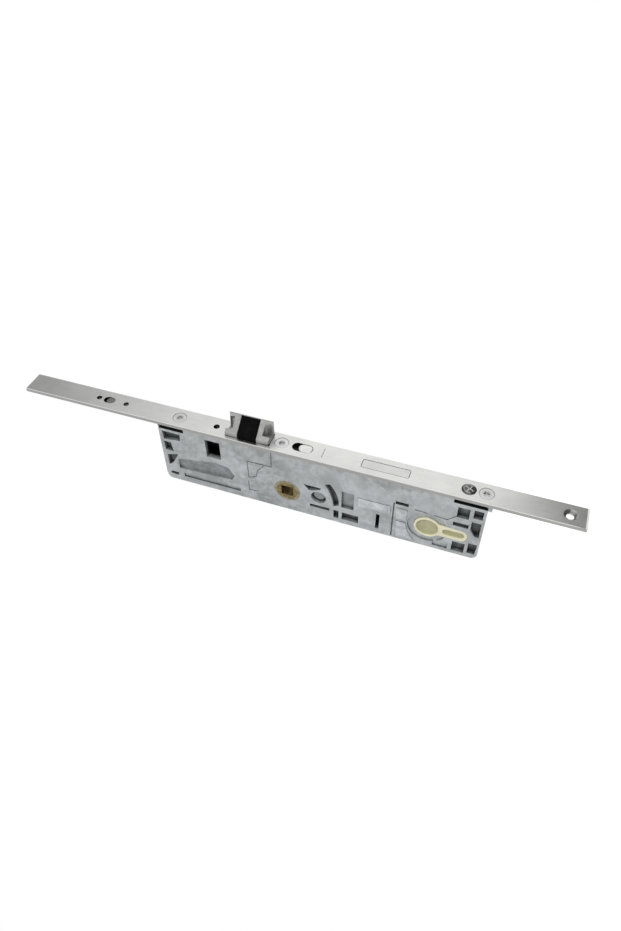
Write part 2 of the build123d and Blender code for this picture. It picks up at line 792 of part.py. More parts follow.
def rack_teeth():
    """The rack's teeth. A space between two of them lies opposite the wheel's centre."""
    lean = tan(radians(pressure_angle))
    tooth_pitch = pi * module
    half_line = tooth_pitch / 4 - tooth_play / 2
    half_tip = half_line - tooth_tip * lean
    half_root = half_line + tooth_root * lean
    tip = rack_line + tooth_tip
    root = rack_line - tooth_root
    first = -round(rack_margin / tooth_pitch)
    last = round((rod_stroke + rack_margin) / tooth_pitch)
    teeth = Sketch()
    for number in range(first, last):
        middle = centres + (number + 0.5) * tooth_pitch
        teeth += outline([
            (middle - half_root, root - slip_gap), (middle - half_root, root), (middle - half_tip, tip),
            (middle + half_tip, tip), (middle + half_root, root), (middle + half_root, root - slip_gap),
        ])
    return teeth


def guide_pin_down():
    """The slide's guide pin stands in line with the middle case screw."""
    return case_screws_down[1]


def pin_seat():
    """How near the pins and the detent's hole reach into the case's floor."""
    return near_face - pocket_middle


def make_drive_slide():
    shape = slide_outline() + rack_teeth()
    width = 2 * (bolt_pin_radius + slip_gap)
    run = rod_stroke * sqrt(2)
    middle = Pos(bolt_pin_down + rod_stroke / 2, bolt_pin_deep - rod_stroke / 2)
    shape -= middle * Rot(0, 0, -45) * SlotOverall(run + width, width)
    guide = 2 * (guide_pin_radius + guide_slot_gap)
    shape -= slot(guide_pin_down() - guide / 2, guide_pin_down() + rod_stroke + guide / 2, detent_deep, guide)
    slide = plate(shape, slide_near, slide_far)
    ball_near = ball_centre()
    groove = detent_ball_radius + slip_gap
    low = (Align.CENTER, Align.CENTER, Align.MIN)
    slide -= end_plane(detent_down) * Pos(ball_near, detent_deep) * Cylinder(groove, rod_stroke, align=low)
    for down in (detent_down, detent_down + rod_stroke):
        slide -= side_plane(ball_near) * Pos(down, detent_deep) * Sphere(groove + slip_gap)
    return slide


def ball_centre():
    """How near the detent ball's centre lies."""
    return slide_near - detent_bite + detent_ball_radius


def make_detent_ball():
    return side_plane(ball_centre()) * Pos(detent_down, detent_deep) * Sphere(detent_ball_radius)


def make_detent_spring():
    front = pin_seat()
    length = front - ball_centre() - detent_ball_radius
    spring, gap = coil(detent_radius, detent_wire, length, detent_turns)
    return side_plane(front) * Pos(detent_down, detent_deep) * spring, gap


def make_guide_pin():
    return plate(disc(guide_pin_down(), detent_deep, guide_pin_radius), pin_seat(), far_face)


def make_pinion_pin():
    return plate(disc(centres, pinion_deep, pinion_pin_radius), pin_seat(), far_face)


def involute(angle):
    """How far the flank has turned from the base circle at a pressure angle."""
    return tan(angle) - angle


def gear_shape():
    """The wheel's toothed outline: involute flanks on arcs, one tooth towards the rack."""
    base = pitch_radius * cos(radians(pressure_angle))
    root = pitch_radius - tooth_root
    tip = pitch_radius + tooth_tip
    half_pitch = pi / (2 * pinion_teeth) - tooth_play / (2 * pitch_radius)
    at_base = half_pitch + involute(radians(pressure_angle))

    def half_at(radius):
        return at_base - involute(acos(min(base / radius, 1)))

    def spot(radius, angle):
        return (radius * cos(angle), radius * sin(angle))

    step = 2 * pi / pinion_teeth
    middle = (base + tip) / 2
    edges = []
    for tooth in range(pinion_teeth):
        centre = tooth * step - pi / 2
        following = centre + step
        edges.append(Line(spot(root, centre - at_base), spot(base, centre - at_base)))
        edges.append(ThreePointArc(spot(base, centre - at_base), spot(middle, centre - half_at(middle)),
                                   spot(tip, centre - half_at(tip))))
        edges.append(Line(spot(tip, centre - half_at(tip)), spot(tip, centre + half_at(tip))))
        edges.append(ThreePointArc(spot(tip, centre + half_at(tip)), spot(middle, centre + half_at(middle)),
                                   spot(base, centre + at_base)))
        edges.append(Line(spot(base, centre + at_base), spot(root, centre + at_base)))
        edges.append(Line(spot(root, centre + at_base), spot(root, following - at_base)))
    return make_face(Wire([part.edge() for part in edges]))


def make_drive_pinion():
    """The toothed wheel and, fused on its near side, the notched star that the cylinder's cam turns."""
    place = Pos(centres, pinion_deep)
    wheel = plate(place * gear_shape(), slide_near, slide_far)
    star = Circle(star_radius)
    for notch in range(star_notches):
        turn = 360 / star_notches * notch + 180 / star_notches
        star -= Rot(0, 0, turn) * Pos(star_radius, 0) * SlotOverall(3 * notch_radius, notch_radius)
    wheel += plate(place * star, slide_near + star_thickness, slide_near)
    wheel -= plate(disc(centres, pinion_deep, pinion_pin_radius + slip_gap), near_face, far_face)
    return wheel


def latch_section():
    """The latch seen along the strip: a low near face, the bevel and the ridge on the far side."""
    half = latch_width / 2
    return outline([
        (half, latch_inside), (half, -latch_shoulder), (-half + latch_tip, -latch_reach),
        (-half, -latch_reach), (-half, latch_inside),
    ])


def end_plane(down):
    """A plane across the strip. Its x runs near, its y deep, and it faces down the door."""
    return Plane(origin=(0, 0, -down), x_dir=(0, -1, 0), z_dir=(0, 0, -1))


def cross_piece(sketch, top, bottom):
    """A piece with the sketch's outline, seen along the strip, between two heights."""
    plane = end_plane(top)
    return extrude(plane * sketch, amount=bottom - top, dir=plane.z_dir)


def insert_room():
    """Where the black insert sits in the latch, seen along the strip."""
    half = latch_width / 2
    return outline([
        (half + overrun, strip_thickness), (half + overrun, -latch_reach - overrun),
        (-half + latch_tip, -latch_reach - overrun), (-half + latch_tip, -latch_reach + insert_thickness),
        (half - insert_thickness, -latch_shoulder + insert_thickness),
        (half - insert_thickness, strip_thickness),
    ])


def cheek_pocket(outer, inner):
    """A scooped hollow in a cheek of the latch, between two heights, below the bevel."""
    half = latch_width / 2
    low_near = half - cheek_wall - cheek_pocket_depth
    scoop = outline([
        (low_near, -latch_reach - overrun), (-half + cheek_wall, -latch_reach - overrun),
        (-half + cheek_wall, -latch_reach + 2 * cheek_pocket_depth),
        (low_near, -latch_shoulder + cheek_pocket_depth / 2),
    ])
    return cross_piece(scoop, min(outer, inner), max(outer, inner))


def make_latch_bolt():
    bolt = cross_piece(latch_section(), latch_top, -latch_bottom)
    insert_half = insert_length / 2
    bolt -= cross_piece(insert_room(), latch_middle - insert_half, latch_middle + insert_half)
    pocket = (latch_length - insert_length) / 2 - 2 * cheek_wall
    bolt -= cheek_pocket(latch_top + cheek_wall, latch_top + cheek_wall + pocket * 2 / 3)
    bolt -= cheek_pocket(-latch_bottom - cheek_wall - pocket * 4 / 5, -latch_bottom - cheek_wall)
    heel_half = latch_heel_width / 2
    heel_bottom = -latch_bottom - cheek_wall
    bolt += block(span(heel_bottom - latch_heel_length, heel_bottom, -heel_half, heel_half),
                  latch_inside, latch_inside + latch_heel)
    tail = span(tail_down() - tail_width / 2, tail_down() + tail_width / 2,
                -tail_far, -tail_far + tail_thickness)
    bolt -= block(tail, latch_inside + latch_heel / 4, latch_inside + latch_heel + overrun)
    bolt -= plate(disc(tail_down(), rivet_deep(), spring_rod_radius), near_face, far_face)
    bolt -= block(disc(latch_spring_down, 0, spring_rod_radius), rod_front - latch_inside / 2,
                  latch_inside + overrun)
    return bolt


def tail_down():
    """The middle of the latch's tail, down from the spindle."""
    return -latch_bottom - latch_heel_length / 2


def rivet_deep():
    """How deep the latch's rivet lies."""
    return latch_inside + latch_heel * 2 / 3


def make_latch_insert():
    half = latch_width / 2
    shape = outline([
        (half + insert_proud, strip_thickness), (half + insert_proud, -latch_shoulder - insert_proud),
        (-half + latch_tip, -latch_reach - insert_proud),
        (-half + latch_tip, -latch_reach + insert_thickness),
        (half - insert_thickness, -latch_shoulder + insert_thickness),
        (half - insert_thickness, strip_thickness),
    ])
    insert_half = insert_length / 2
    return cross_piece(shape, latch_middle - insert_half, latch_middle + insert_half)


def make_latch_tail():
    """The flat tail with the hook that the hub's arm draws back."""
    near = -tail_far + tail_thickness
    half = tail_width / 2
    hook_back = hook_front + hook_thickness
    shape = span(tail_down() - half, tail_down() + half, latch_inside + latch_heel / 4, hook_back)
    tail = plate(shape, near, -tail_far)
    hook = span(arm_tip_down - hook_length, arm_tip_down, hook_front, hook_back)
    tail += plate(hook, tail_far, -tail_far)
    tail -= plate(disc(tail_down(), rivet_deep(), spring_rod_radius), near_face, far_face)
    window = rounded_span(tail_down() - half / 2, tail_down() + half / 2, band_front,
                          hook_front - hook_thickness, half / 4)
    return tail - plate(window, near_face, far_face)


def make_latch_rivet():
    heel_half = latch_heel_width / 2
    return plate(disc(tail_down(), rivet_deep(), spring_rod_radius), heel_half, -heel_half)


def make_latch_spring():
    spring, gap = coil(spring_radius, spring_wire, latch_spring_length, spring_turns)
    return front_plane(latch_inside) * Pos(latch_spring_down, 0) * spring, gap


def make_spring_rod():
    length = latch_spring_length + spring_seat + latch_inside / 2
    return block(disc(latch_spring_down, 0, spring_rod_radius), latch_inside / 2 + rod_gap,
                 length + latch_inside)


def make_hub_spring():
    spring, gap = coil(spring_radius, spring_wire, hub_spring_length, spring_turns)
    front = backset - hub_arm_width / 2 - hub_spring_length
    return front_plane(front) * Pos(return_arm, 0) * spring, gap


def make_spindle_hub():
    """The follower: a barrel in two bushes, a disc, the latch arm and the return arm."""
    barrel = plate(disc(0, backset, hub_radius), near_face + hub_proud, far_face - hub_proud)
    half_disc = hub_disc_thickness / 2
    hub = barrel + plate(disc(0, backset, hub_disc_radius), half_disc, -half_disc)
    arm_half = hub_arm_width / 2
    near = -tail_far + tail_thickness + free_gap
    turn = 180 + hub_swing / 2
    arm = span(0, arm_reach, -arm_half, arm_half) + disc(arm_reach, 0, arm_half)
    hub += plate(Pos(0, backset) * Rot(0, 0, turn) * arm, half_disc, near)
    lower = span(0, return_arm, backset - arm_half, backset + arm_half) + disc(return_arm, backset, arm_half)
    hub += plate(lower, half_disc, -half_disc)
    square = Pos(0, backset) * Rectangle(spindle_square, spindle_square)
    return hub - plate(square, near_face + overrun, far_face - overrun)


def make_bush(outer, inner):
    """A bearing ring round the hub's barrel."""
    ring = disc(0, backset, bush_radius) - disc(0, backset, hub_radius + slip_gap)
    return plate(ring, outer, inner)


def make_deadbolt():
    half = bolt_width / 2
    shape = rounded_span(bolt_top, bolt_bottom, -half, half, bolt_corner)
    bolt = block(shape, slip_gap, bolt_depth)
    bolt -= plate(disc(bolt_pin_down, bolt_pin_deep, bolt_pin_radius), 0, -half - overrun)
    relief = rounded_span(bolt_pin_down + 2 * bolt_pin_radius, bolt_bottom - 2 * bolt_relief,
                          bolt_depth * 2 / 3, bolt_depth - 2 * bolt_relief, bolt_relief / 2)
    return bolt - plate(relief, half + overrun, -half - overrun)


def make_deadbolt_pin():
    return plate(disc(bolt_pin_down, bolt_pin_deep, bolt_pin_radius), 0, slide_far)


def snib_plate_top():
    """The upper end of the snib's plate at rest."""
    return snib_slot_top + snib_slot_length - snib_length - side_gap


def snib_plate_back():
    """How deep the snib's plate reaches."""
    return strip_thickness + side_gap + snib_plate_thickness


def make_snib_button():
    low = snib_plate_top()
    shape = slot(low, low + snib_length, 0, snib_width)
    return block(shape, -snib_proud, strip_thickness + side_gap)


def make_snib_plate():
    half = snib_plate_width / 2
    low = snib_plate_top()
    shape = rounded_span(low, low + snib_plate_length, -half, half, half / 4)
    return block(shape, strip_thickness + side_gap, snib_plate_back())


near_bush_outer = near_face + bush_proud
makers = {
    "faceplate": make_faceplate,
    "case_body": make_case_body,
    "case_cover": make_case_cover,
    "case_screws": make_case_screws,
    "cover_screws": make_cover_screws,
    "cylinder_screw": make_cylinder_screw,
    "cylinder_plug": make_cylinder_plug,
    "rod_stud": make_rod_stud,
    "near_hub_bush": lambda: make_bush(near_bush_outer, floor),
    "far_hub_bush": lambda: make_bush(slide_near, far_face),
    "pinion_pin": make_pinion_pin,
    "slide_guide_pin": make_guide_pin,
    "detent_ball": make_detent_ball,
    "latch_bolt": make_latch_bolt,
    "latch_insert": make_latch_insert,
    "latch_tail": make_latch_tail,
    "latch_rivet": make_latch_rivet,
    "latch_spring_rod": make_spring_rod,
    "spindle_hub": make_spindle_hub,
    "drive_slide": make_drive_slide,
    "upper_rod": make_upper_rod,
    "lower_rod": make_lower_rod,
    "deadbolt": make_deadbolt,
    "deadbolt_pin": make_deadbolt_pin,
    "drive_pinion": make_drive_pinion,
    "snib_button": make_snib_button,
    "snib_plate": make_snib_plate,
}
spring_makers = {
    "latch_spring": make_latch_spring,
    "hub_spring": make_hub_spring,
    "detent_spring": make_detent_spring,
}

os.makedirs("parts", exist_ok=True)
for name, maker in makers.items():
    export_step(maker(), f"parts/{name}.step")
for name, maker in spring_makers.items():
    spring, gap = maker()
    print(name, "least gap between turns", round(gap, 3))
    export_step(spring, f"parts/{name}.step")
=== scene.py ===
"""Looks of a multipoint door lock's centre module, laid out as an add-on."""
import json
import math

import bmesh
import bpy
from mathutils import Matrix, Vector


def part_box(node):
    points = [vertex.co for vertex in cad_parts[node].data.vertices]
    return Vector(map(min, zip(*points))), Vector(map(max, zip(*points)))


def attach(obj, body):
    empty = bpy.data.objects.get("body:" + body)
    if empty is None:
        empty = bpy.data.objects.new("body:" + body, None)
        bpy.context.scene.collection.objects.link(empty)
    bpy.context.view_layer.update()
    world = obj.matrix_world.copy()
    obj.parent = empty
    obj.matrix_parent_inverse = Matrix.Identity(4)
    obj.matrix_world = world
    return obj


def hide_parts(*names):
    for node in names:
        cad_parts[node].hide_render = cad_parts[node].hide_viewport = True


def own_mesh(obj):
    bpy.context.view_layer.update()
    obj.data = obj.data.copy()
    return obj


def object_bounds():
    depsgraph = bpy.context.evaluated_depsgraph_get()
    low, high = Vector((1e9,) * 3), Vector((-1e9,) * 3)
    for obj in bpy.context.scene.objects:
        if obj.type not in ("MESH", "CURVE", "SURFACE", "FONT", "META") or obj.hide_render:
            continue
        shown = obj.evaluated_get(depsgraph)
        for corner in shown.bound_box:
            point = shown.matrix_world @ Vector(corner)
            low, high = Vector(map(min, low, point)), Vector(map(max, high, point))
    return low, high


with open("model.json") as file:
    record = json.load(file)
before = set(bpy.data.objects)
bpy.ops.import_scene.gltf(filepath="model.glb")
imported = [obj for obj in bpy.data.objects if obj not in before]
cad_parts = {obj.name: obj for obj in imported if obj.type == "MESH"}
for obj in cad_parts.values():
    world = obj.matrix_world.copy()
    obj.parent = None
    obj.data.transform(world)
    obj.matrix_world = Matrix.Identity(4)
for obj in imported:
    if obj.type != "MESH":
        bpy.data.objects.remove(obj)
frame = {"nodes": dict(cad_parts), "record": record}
cad_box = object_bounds()

bl_info = {
    "name": "Multipoint lock",
    "version": (1, 0, 0),
    "blender": (4, 5, 0),
    "location": "3D View > Sidebar > Lock",
    "description": "Rounds, finishes and lights the lock's parts",
    "category": "Object",
}

# Sizes below are in millimetres, and MM turns them into Blender's metres. "Down" counts from the
# spindle, "deep" from the faceplate's front into the door, and "near" from the middle plane towards
# the side with the pockets.
MM = 0.001
WELD = 0.002 * MM
OVERRUN = 1
FLAT_ANGLE = math.radians(0.4)
EDGE_ANGLE = math.radians(28)
SMOOTH_ANGLE = math.radians(35)
FRONT, DOWN, NEAR = Vector((1, 0, 0)), Vector((0, 0, -1)), Vector((0, -1, 0))

# The camera and the stage, in metres, degrees and watts. A card's tones are the two heights between
# which it dims, then its brightest and its dimmest grey.
CAMERA_PLACE = (0.318727, -0.297868, -0.123291)
CAMERA_TURN = (134.96474, 70.26316, 91.38560)
CAMERA_LENS = 28.390
CAMERA_START = 0.01
LAMPS = (
    ("key", (0.45, -0.28, 0.10), 0.35, 1.6),
    ("fill", (-0.5, -1.0, -0.1), 0.9, 1.5),
    ("back", (-0.7, 1.0, 0.7), 0.9, 6.0),
)
UPPER_CARD = ((0.95, -0.10, 0.15), (-0.10, 0.95, 0.15), (-0.10, 0.95, 1.4), (0.95, -0.10, 1.4))
UPPER_CARD_TONES = (0.28, 0.68, 1.0, 0.22)
LOWER_CARD = ((0.0, 0.40), (-0.02, 0.40))
LOWER_CARD_TONES = (0.0, 1.0, 0.20, 0.16)
WORLD_LIGHT, WORLD_MORE_SEEN = 0.65, 0.35
FLOOR_GLOW, FLOOR_GLOW_SHARE = 1.35, 0.6
FLOOR_TONES = ((0.86, 0.86, 0.86), (0.9, 0.9, 0.9))

# The screws that hold the case, and the cylinder's screw.
CASE_SCREWS = (-75.4, -5.2, 121.9)
CYLINDER_SCREW = 111.6

# The latch. Starts with a length count from its top. Outlines are in pairs of near and deep for bars
# along the strip, and of down and near for bars into the door.
LATCH_TOP = -41.3
LATCH_LENGTH = 29.3
LATCH_HALF = 5.3
LATCH_SHOULDER = 2.8
LATCH_REACH = 11.0
LATCH_RUN = 9.7
LATCH_RISE = LATCH_REACH - LATCH_SHOULDER
LATCH_BACK = 3.0
LATCH_CORNER = 1.6
HEEL_START, HEEL_LENGTH = 11.7, 16.0
HEEL_NEARS, HEEL_DEEPS = (-3, 3), (2.5, 9)
INSERT_START, INSERT_LENGTH = 8.25, 12.8
INSERT_ROOM = ((6.3, 2.5), (6.3, -12.0), (-4.4, -12.0), (-4.4, -8.6), (2.9, -0.4), (2.9, 2.5))
NOTCH_DEEP, NOTCH_LENGTH = -14.0, 13.6
UPPER_NOTCH = ((-45, -4.4), (-41.3, -4.4), (-37.7, 3.2), (-45, 3.2))
LOWER_NOTCH = ((-8.0, -3.4), (-13.8, -3.4), (-15.8, -3.0), (-16.7, -1.9), (-17.0, 2.9), (-8.0, 2.9))
CHEEK_SCOOP = ((-40.2, -2.6), (-37.2, -3.1), (-36.9, -0.5), (-37.0, 2.6), (-37.6, 2.6))
CHEEK_ABOVE, CHEEK_UNDER = 3.0, -2.0
TAIL_DEEP, TAIL_LENGTH = 3.75, 6.0
TAIL_DOWNS, TAIL_NEARS = (-25.0, -15.0), (-2.7, -0.7)

# The transport plug, with its dishes and the screw's hole.
PLUG_DOWN, PLUG_DEEP = 92.0, 35.0
PLUG_RADIUS = 8.45
PLUG_HALF = 4.85
PLUG_REACH = 25.05
PLUG_ENDS = (7.35, -7.0)
NECK_ROUND, NECK_SLACK = 1.8, 0.05
DISH_DEPTH = 1.7
ROUND_DISH_WALL = 1.55
LONG_DISH_START, LONG_DISH_STOP = 9.6, 2.05
LONG_DISH_WALL = 2.25
ROUND_END_SHARE, ROUND_END_STEPS = 0.98, 10
DISC_SIDES = 72
SCREW_HOLE_HALF, SCREW_HOLE_LENGTH = 2.7, 45

# The case, with its corners, the rods' mouths and the shallow scoop (down, deep and near).
CASE_TOP, CASE_END, CASE_BACK = 88.5, 125.0, 53.0
CASE_FACES = (-5.5, 7.0)
CORNER_RADIUS = 4.5
CORNER_WALL = 1.6
CORNER_LEG = 9.0
CORNER_STEPS = 9
UPPER_CORNER_DEEP, UPPER_CORNER_DOWN = 44, -83
MOUTHS = ((-89.0, -70.4), (104.9, 125.0))
MOUTH_DEEPS, MOUTH_NEARS = (5.0, 6.3), (5.2, 8.0)
SCOOP = ((-86.0, -36.0), (23.0, 43.0), (4.9, 7.2))

# The wound springs: the joint that shortens each, its fixed end along X and the share of its length
# that is left when it is shortest.
WIRE_RADIUS, WIRE_SIDES = 0.4, 10
COIL_TURNS, COIL_STEPS = 6.5, 28
COILS = (("latch_spring", "latch_slide", -27.0, 0.54), ("hub_spring", "hub_turn", -12.4, 0.50))

# Where a finish, its painted shade or its painted highlight changes: the place where it starts to, and
# the place where it has fully changed. Two such pairs bound a zone. Places lie along X for fronts and
# walls, along Y for flats and recesses, along Z for heights, away from the middle plane for sides and
# from a screw's middle for rings.
# Painted shade on the faceplate: on the walls of its openings and in its lines, less at the fixing
# hole's height, on its sheared sides in part, and in a ring round each case screw.
STRIP_WALLS, WALL_SIDES = ((-0.2, -0.7), (-2.48, -2.40)), (7.7, 7.3)
STRIP_LINES, LINE_SIDES = ((-0.02, -0.08), (-2.48, -2.40)), (7.5, 7.3)
SHEARED_SIDES = (7.85, 7.97)
FIXING_HEIGHT = (-150, -160)
SCREW_RING_SHADE = ((4.2, 4.35), (4.85, 4.6))
# Painted shade round the case screws' heads, round their sockets and down the socket walls.
HEAD_RING = ((4.0, 4.25), (4.8, 4.6))
SOCKET_RING = ((1.9, 2.1), (2.7, 2.4))
SOCKET_WALLS = ((-0.35, -0.7), (-1.55, -1.35))
# Where the cylinder screw's cross recess takes a painted highlight.
CROSS_FRONT, CROSS_RADIUS = (0.9, 0.4), (3.4, 3.0)
SKIN = (0.1, 0.6)
UPPER_CUT, LOWER_CUT = (137.3, 136.6), (174.6, 173.9)
# Painted shade in the case's pockets, and more of it on their floors.
POCKET_SHADE, POCKET_FLOOR_SHADE = (-6.6, -3.9), (-5.6, -3.4)
# A painted shadow on the case just behind the faceplate.
SHADOW_UNDER_STRIP = (-3.7, -2.6)
# Where the rods' mouths are painted nearly black as shade.
MOUTH_HEIGHTS = (((70.2, 70.6), (88.4, 88.1)), ((-124.9, -124.6), (-104.8, -105.2)))
MOUTH_FLOOR_SHADE = (-MOUTH_DEEPS[1] - 0.25, -MOUTH_DEEPS[1] - 0.1)
# The raised flats, which are made lighter.
LIGHTER_FLATS = (-7.02, -7.3)
# The plug's recess floors, which take painted shade.
PLUG_RECESSES = ((-7.0, -5.9), (7.0, 5.9))

# Grain that is drawn out one way, in waves a metre along X, Y and Z.
BRUSHED_WAVES = (5200, 5200, 55)
FINE_BRUSHED_WAVES = tuple(waves * 2.3 for waves in BRUSHED_WAVES)
TUMBLED_WAVES = (700, 700, 5200)
ROLLED_WAVES = (1800, 1800, 60)
TURNED_WAVES = (400, 4200, 4200)
SCUFFED_WAVES = (500, 4200, 4200)
# The colour of the painted highlight in the cylinder screw's cross recess.
CROSS_HIGHLIGHT = (0.8, 0.8, 0.78)


def length(name, default, text):
    """A length in metres that a user can change."""
    return bpy.props.FloatProperty(name=name, description=text, default=default, min=0, unit="LENGTH")


def colour(name, default, text):
    """A colour that a user can change."""
    return bpy.props.FloatVectorProperty(name=name, description=text, default=default, min=0, max=1,
                                         size=3, subtype="COLOR")


class LockSizes(bpy.types.PropertyGroup):
    """Sizes of the finishing work. Short edges can hold a rounding back to less than its size."""
    strip_round: length("Strip edges", 0.12 * MM, "Most rounding of the faceplate's edges")
    cast_round: length("Cast edges", 0.28 * MM, "Most rounding of the zinc case's edges")
    scoop_round: length("Scoop edges", 0.9 * MM, "Rounding of the shallow scoop in the case")
    corner_round: length("Case corner", 1.5 * MM, "Rounding of the case's upper back corner")
    latch_round: length("Latch edges", 0.3 * MM, "Most rounding of the latch's edges")
    plug_round: length("Plug edges", 0.6 * MM, "Most rounding of the transport plug's edges")
    snib_round: length("Snib edges", 0.5 * MM, "Most rounding of the snib's button")
    steel_round: length("Steel edges", 0.12 * MM, "Most rounding of blanked and turned steel")
    floor_width: length("Floor width", 6.0, "Width of the pale floor")


class LockColours(bpy.types.PropertyGroup):
    """Colours of the finishes, some of them the colours of painted shade."""
    strip: colour("Strip", (0.77, 0.775, 0.75), "Satin stainless steel")
    zinc: colour("Zinc", (0.42, 0.44, 0.45), "Cast zinc where it is lightest")
    # The colour of the painted shade in the case's pockets, nooks and rod mouths.
    zinc_dark: colour("Dark zinc", (0.05, 0.055, 0.058), "Cast zinc where it is darkest")
    latch: colour("Latch", (0.40, 0.402, 0.395), "Latch casting")
    steel: colour("Steel", (0.50, 0.51, 0.51), "Plated inner steel")
    screw: colour("Screws", (0.76, 0.765, 0.76), "Satin screws")
    dark_screw: colour("Dark screw", (0.10, 0.10, 0.095), "Dark plated screw")
    # Near black as painted shade: the rods show only down in the slots, in shade.
    rod: colour("Rods", (0.02, 0.02, 0.02), "Greased dark steel rods")
    brass: colour("Brass", (0.36, 0.32, 0.22), "Dull yellow brass")
    hub: colour("Hub", (0.29, 0.23, 0.10), "Brown plated hub")
    cream: colour("Cream", (0.68, 0.66, 0.48), "Cream plastic")
    # The colour of the painted shade on the plug's recess floors.
    olive: colour("Olive", (0.37, 0.35, 0.20), "Cream plastic in its recesses")
    black: colour("Black", (0.003, 0.003, 0.003), "Black plastic")
    cover: colour("Cover", (0.55, 0.57, 0.58), "Plated sheet steel")


class Shade:
    """A shader value that takes part in sums."""

    def __init__(self, tree, socket):
        self.tree = tree
        self.socket = socket

    def worked_out(self, operation, first, second):
        """What one Math node makes of two values."""
        node = self.tree.nodes.new("ShaderNodeMath")
        node.operation = operation
        join(self.tree, first, node.inputs[0])
        join(self.tree, second, node.inputs[1])
        return Shade(self.tree, node.outputs[0])

    def __add__(self, other):
        return self.worked_out("ADD", self, other)

    def __radd__(self, other):
        return self.worked_out("ADD", other, self)

    def __sub__(self, other):
        return self.worked_out("SUBTRACT", self, other)

    def __rsub__(self, other):
        return self.worked_out("SUBTRACT", other, self)

    def __mul__(self, other):
        return self.worked_out("MULTIPLY", self, other)

    def __rmul__(self, other):
        return self.worked_out("MULTIPLY", other, self)

    def or_more(self, other):
        """The larger of two values."""
        return self.worked_out("MAXIMUM", self, other)

    def or_less(self, other):
        """The smaller of two values."""
        return self.worked_out("MINIMUM", self, other)


def join(tree, item, socket):
    """Links a shader value to a socket, or writes a plain number or colour on it."""
    if isinstance(item, Shade):
        tree.links.new(item.socket, socket)
    elif isinstance(item, (int, float)):
        socket.default_value = item
    else:
        item = tuple(item)
        socket.default_value = item + (1.0,) if socket.type == "RGBA" and len(item) == 3 else item


class Finish:
    """A procedural material on object coordinates."""

    def __init__(self, name):
        self.material = bpy.data.materials.new(name)
        self.material.use_nodes = True
        self.tree = self.material.node_tree
        self.shader = self.tree.nodes["Principled BSDF"]
        self.place = self.node("ShaderNodeTexCoord", output="Object")

    def node(self, kind, settings=(), inputs=(), output=0):
        """A node with its settings set first and then its inputs, as one of its outputs."""
        node = self.tree.nodes.new(kind)
        for key, value in dict(settings).items():
            setattr(node, key, value)
        for key, value in dict(inputs).items():
            join(self.tree, value, node.inputs[key])
        return Shade(self.tree, node.outputs[output])

    def stretched(self, scales):
        """Object coordinates scaled apart along X, Y and Z."""
        return self.node("ShaderNodeVectorMath", {"operation": "MULTIPLY"}, {0: self.place, 1: scales})

    def noise(self, waves, detail=3.0, rough=0.55, swirl=0.0):
        """Soft noise with this many waves a metre, or with its own number along X, Y and Z."""
        place, scale = (self.stretched(waves), 1.0) if isinstance(waves, tuple) else (self.place, waves)
        return self.node("ShaderNodeTexNoise", (), {"Vector": place, "Scale": scale, "Detail": detail,
                                                    "Roughness": rough, "Distortion": swirl})

    def cells(self, scale, output="Distance"):
        """Round cells with this many a metre."""
        return self.node("ShaderNodeTexVoronoi", (), {"Vector": self.place, "Scale": scale}, output)

    def band(self, value, start, full):
        """Zero up to the first value and one from the second on, with a smooth step between."""
        return self.node("ShaderNodeMapRange", {"interpolation_type": "SMOOTHSTEP", "clamp": True},
                         {"Value": value, "From Min": start, "From Max": full})

    def step(self, value, start, full):
        """The same between two places in millimetres."""
        return self.band(value, start * MM, full * MM)

    def zone(self, value, first, last):
        """One inside a zone that two such steps bound, and zero outside it."""
        return self.step(value, *first) * self.step(value, *last)

    def blend(self, share, first, last):
        """A colour between two."""
        return self.node("ShaderNodeMix", {"data_type": "RGBA"}, {0: share, 6: first, 7: last}, 2)

    def along(self, axis):
        """How far along X, Y or Z a point lies, in metres."""
        return self.node("ShaderNodeSeparateXYZ", (), {0: self.place}, axis)

    def aside(self):
        """How far a point lies from the middle plane, in metres."""
        return self.node("ShaderNodeMath", {"operation": "ABSOLUTE"}, {0: self.along("Y")})

    def around(self, down):
        """How far a point lies from the middle line of a screw this many millimetres down."""
        flat = self.stretched((0, 1, 1))
        return self.node("ShaderNodeVectorMath", {"operation": "DISTANCE"},
                         {0: flat, 1: (0, 0, -down * MM)}, "Value")

    def shut_in(self, reach, open_share, shut_share):
        """One in nooks of the piece and zero in the open, looking this many millimetres round."""
        nook = self.node("ShaderNodeAmbientOcclusion", {"samples": 6, "only_local": True},
                         {"Distance": reach * MM}, "AO")
        return self.band(nook, open_share, shut_share)

    def bump(self, height, strength, depth):
        """A normal from a height that goes this many millimetres deep."""
        return self.node("ShaderNodeBump", (),
                         {"Strength": strength, "Distance": depth * MM, "Height": height}, "Normal")

    def set(self, **inputs):
        """The material with the shader's inputs set, which are named with low lines for spaces."""
        for key, value in inputs.items():
            name = key.replace("_", " ").title().replace("Ior", "IOR")
            join(self.tree, value, self.shader.inputs[name])
        return self.material


def tint(shade, share):
    """A colour made lighter or darker."""
    return tuple(min(1.0, part * share) for part in shade)


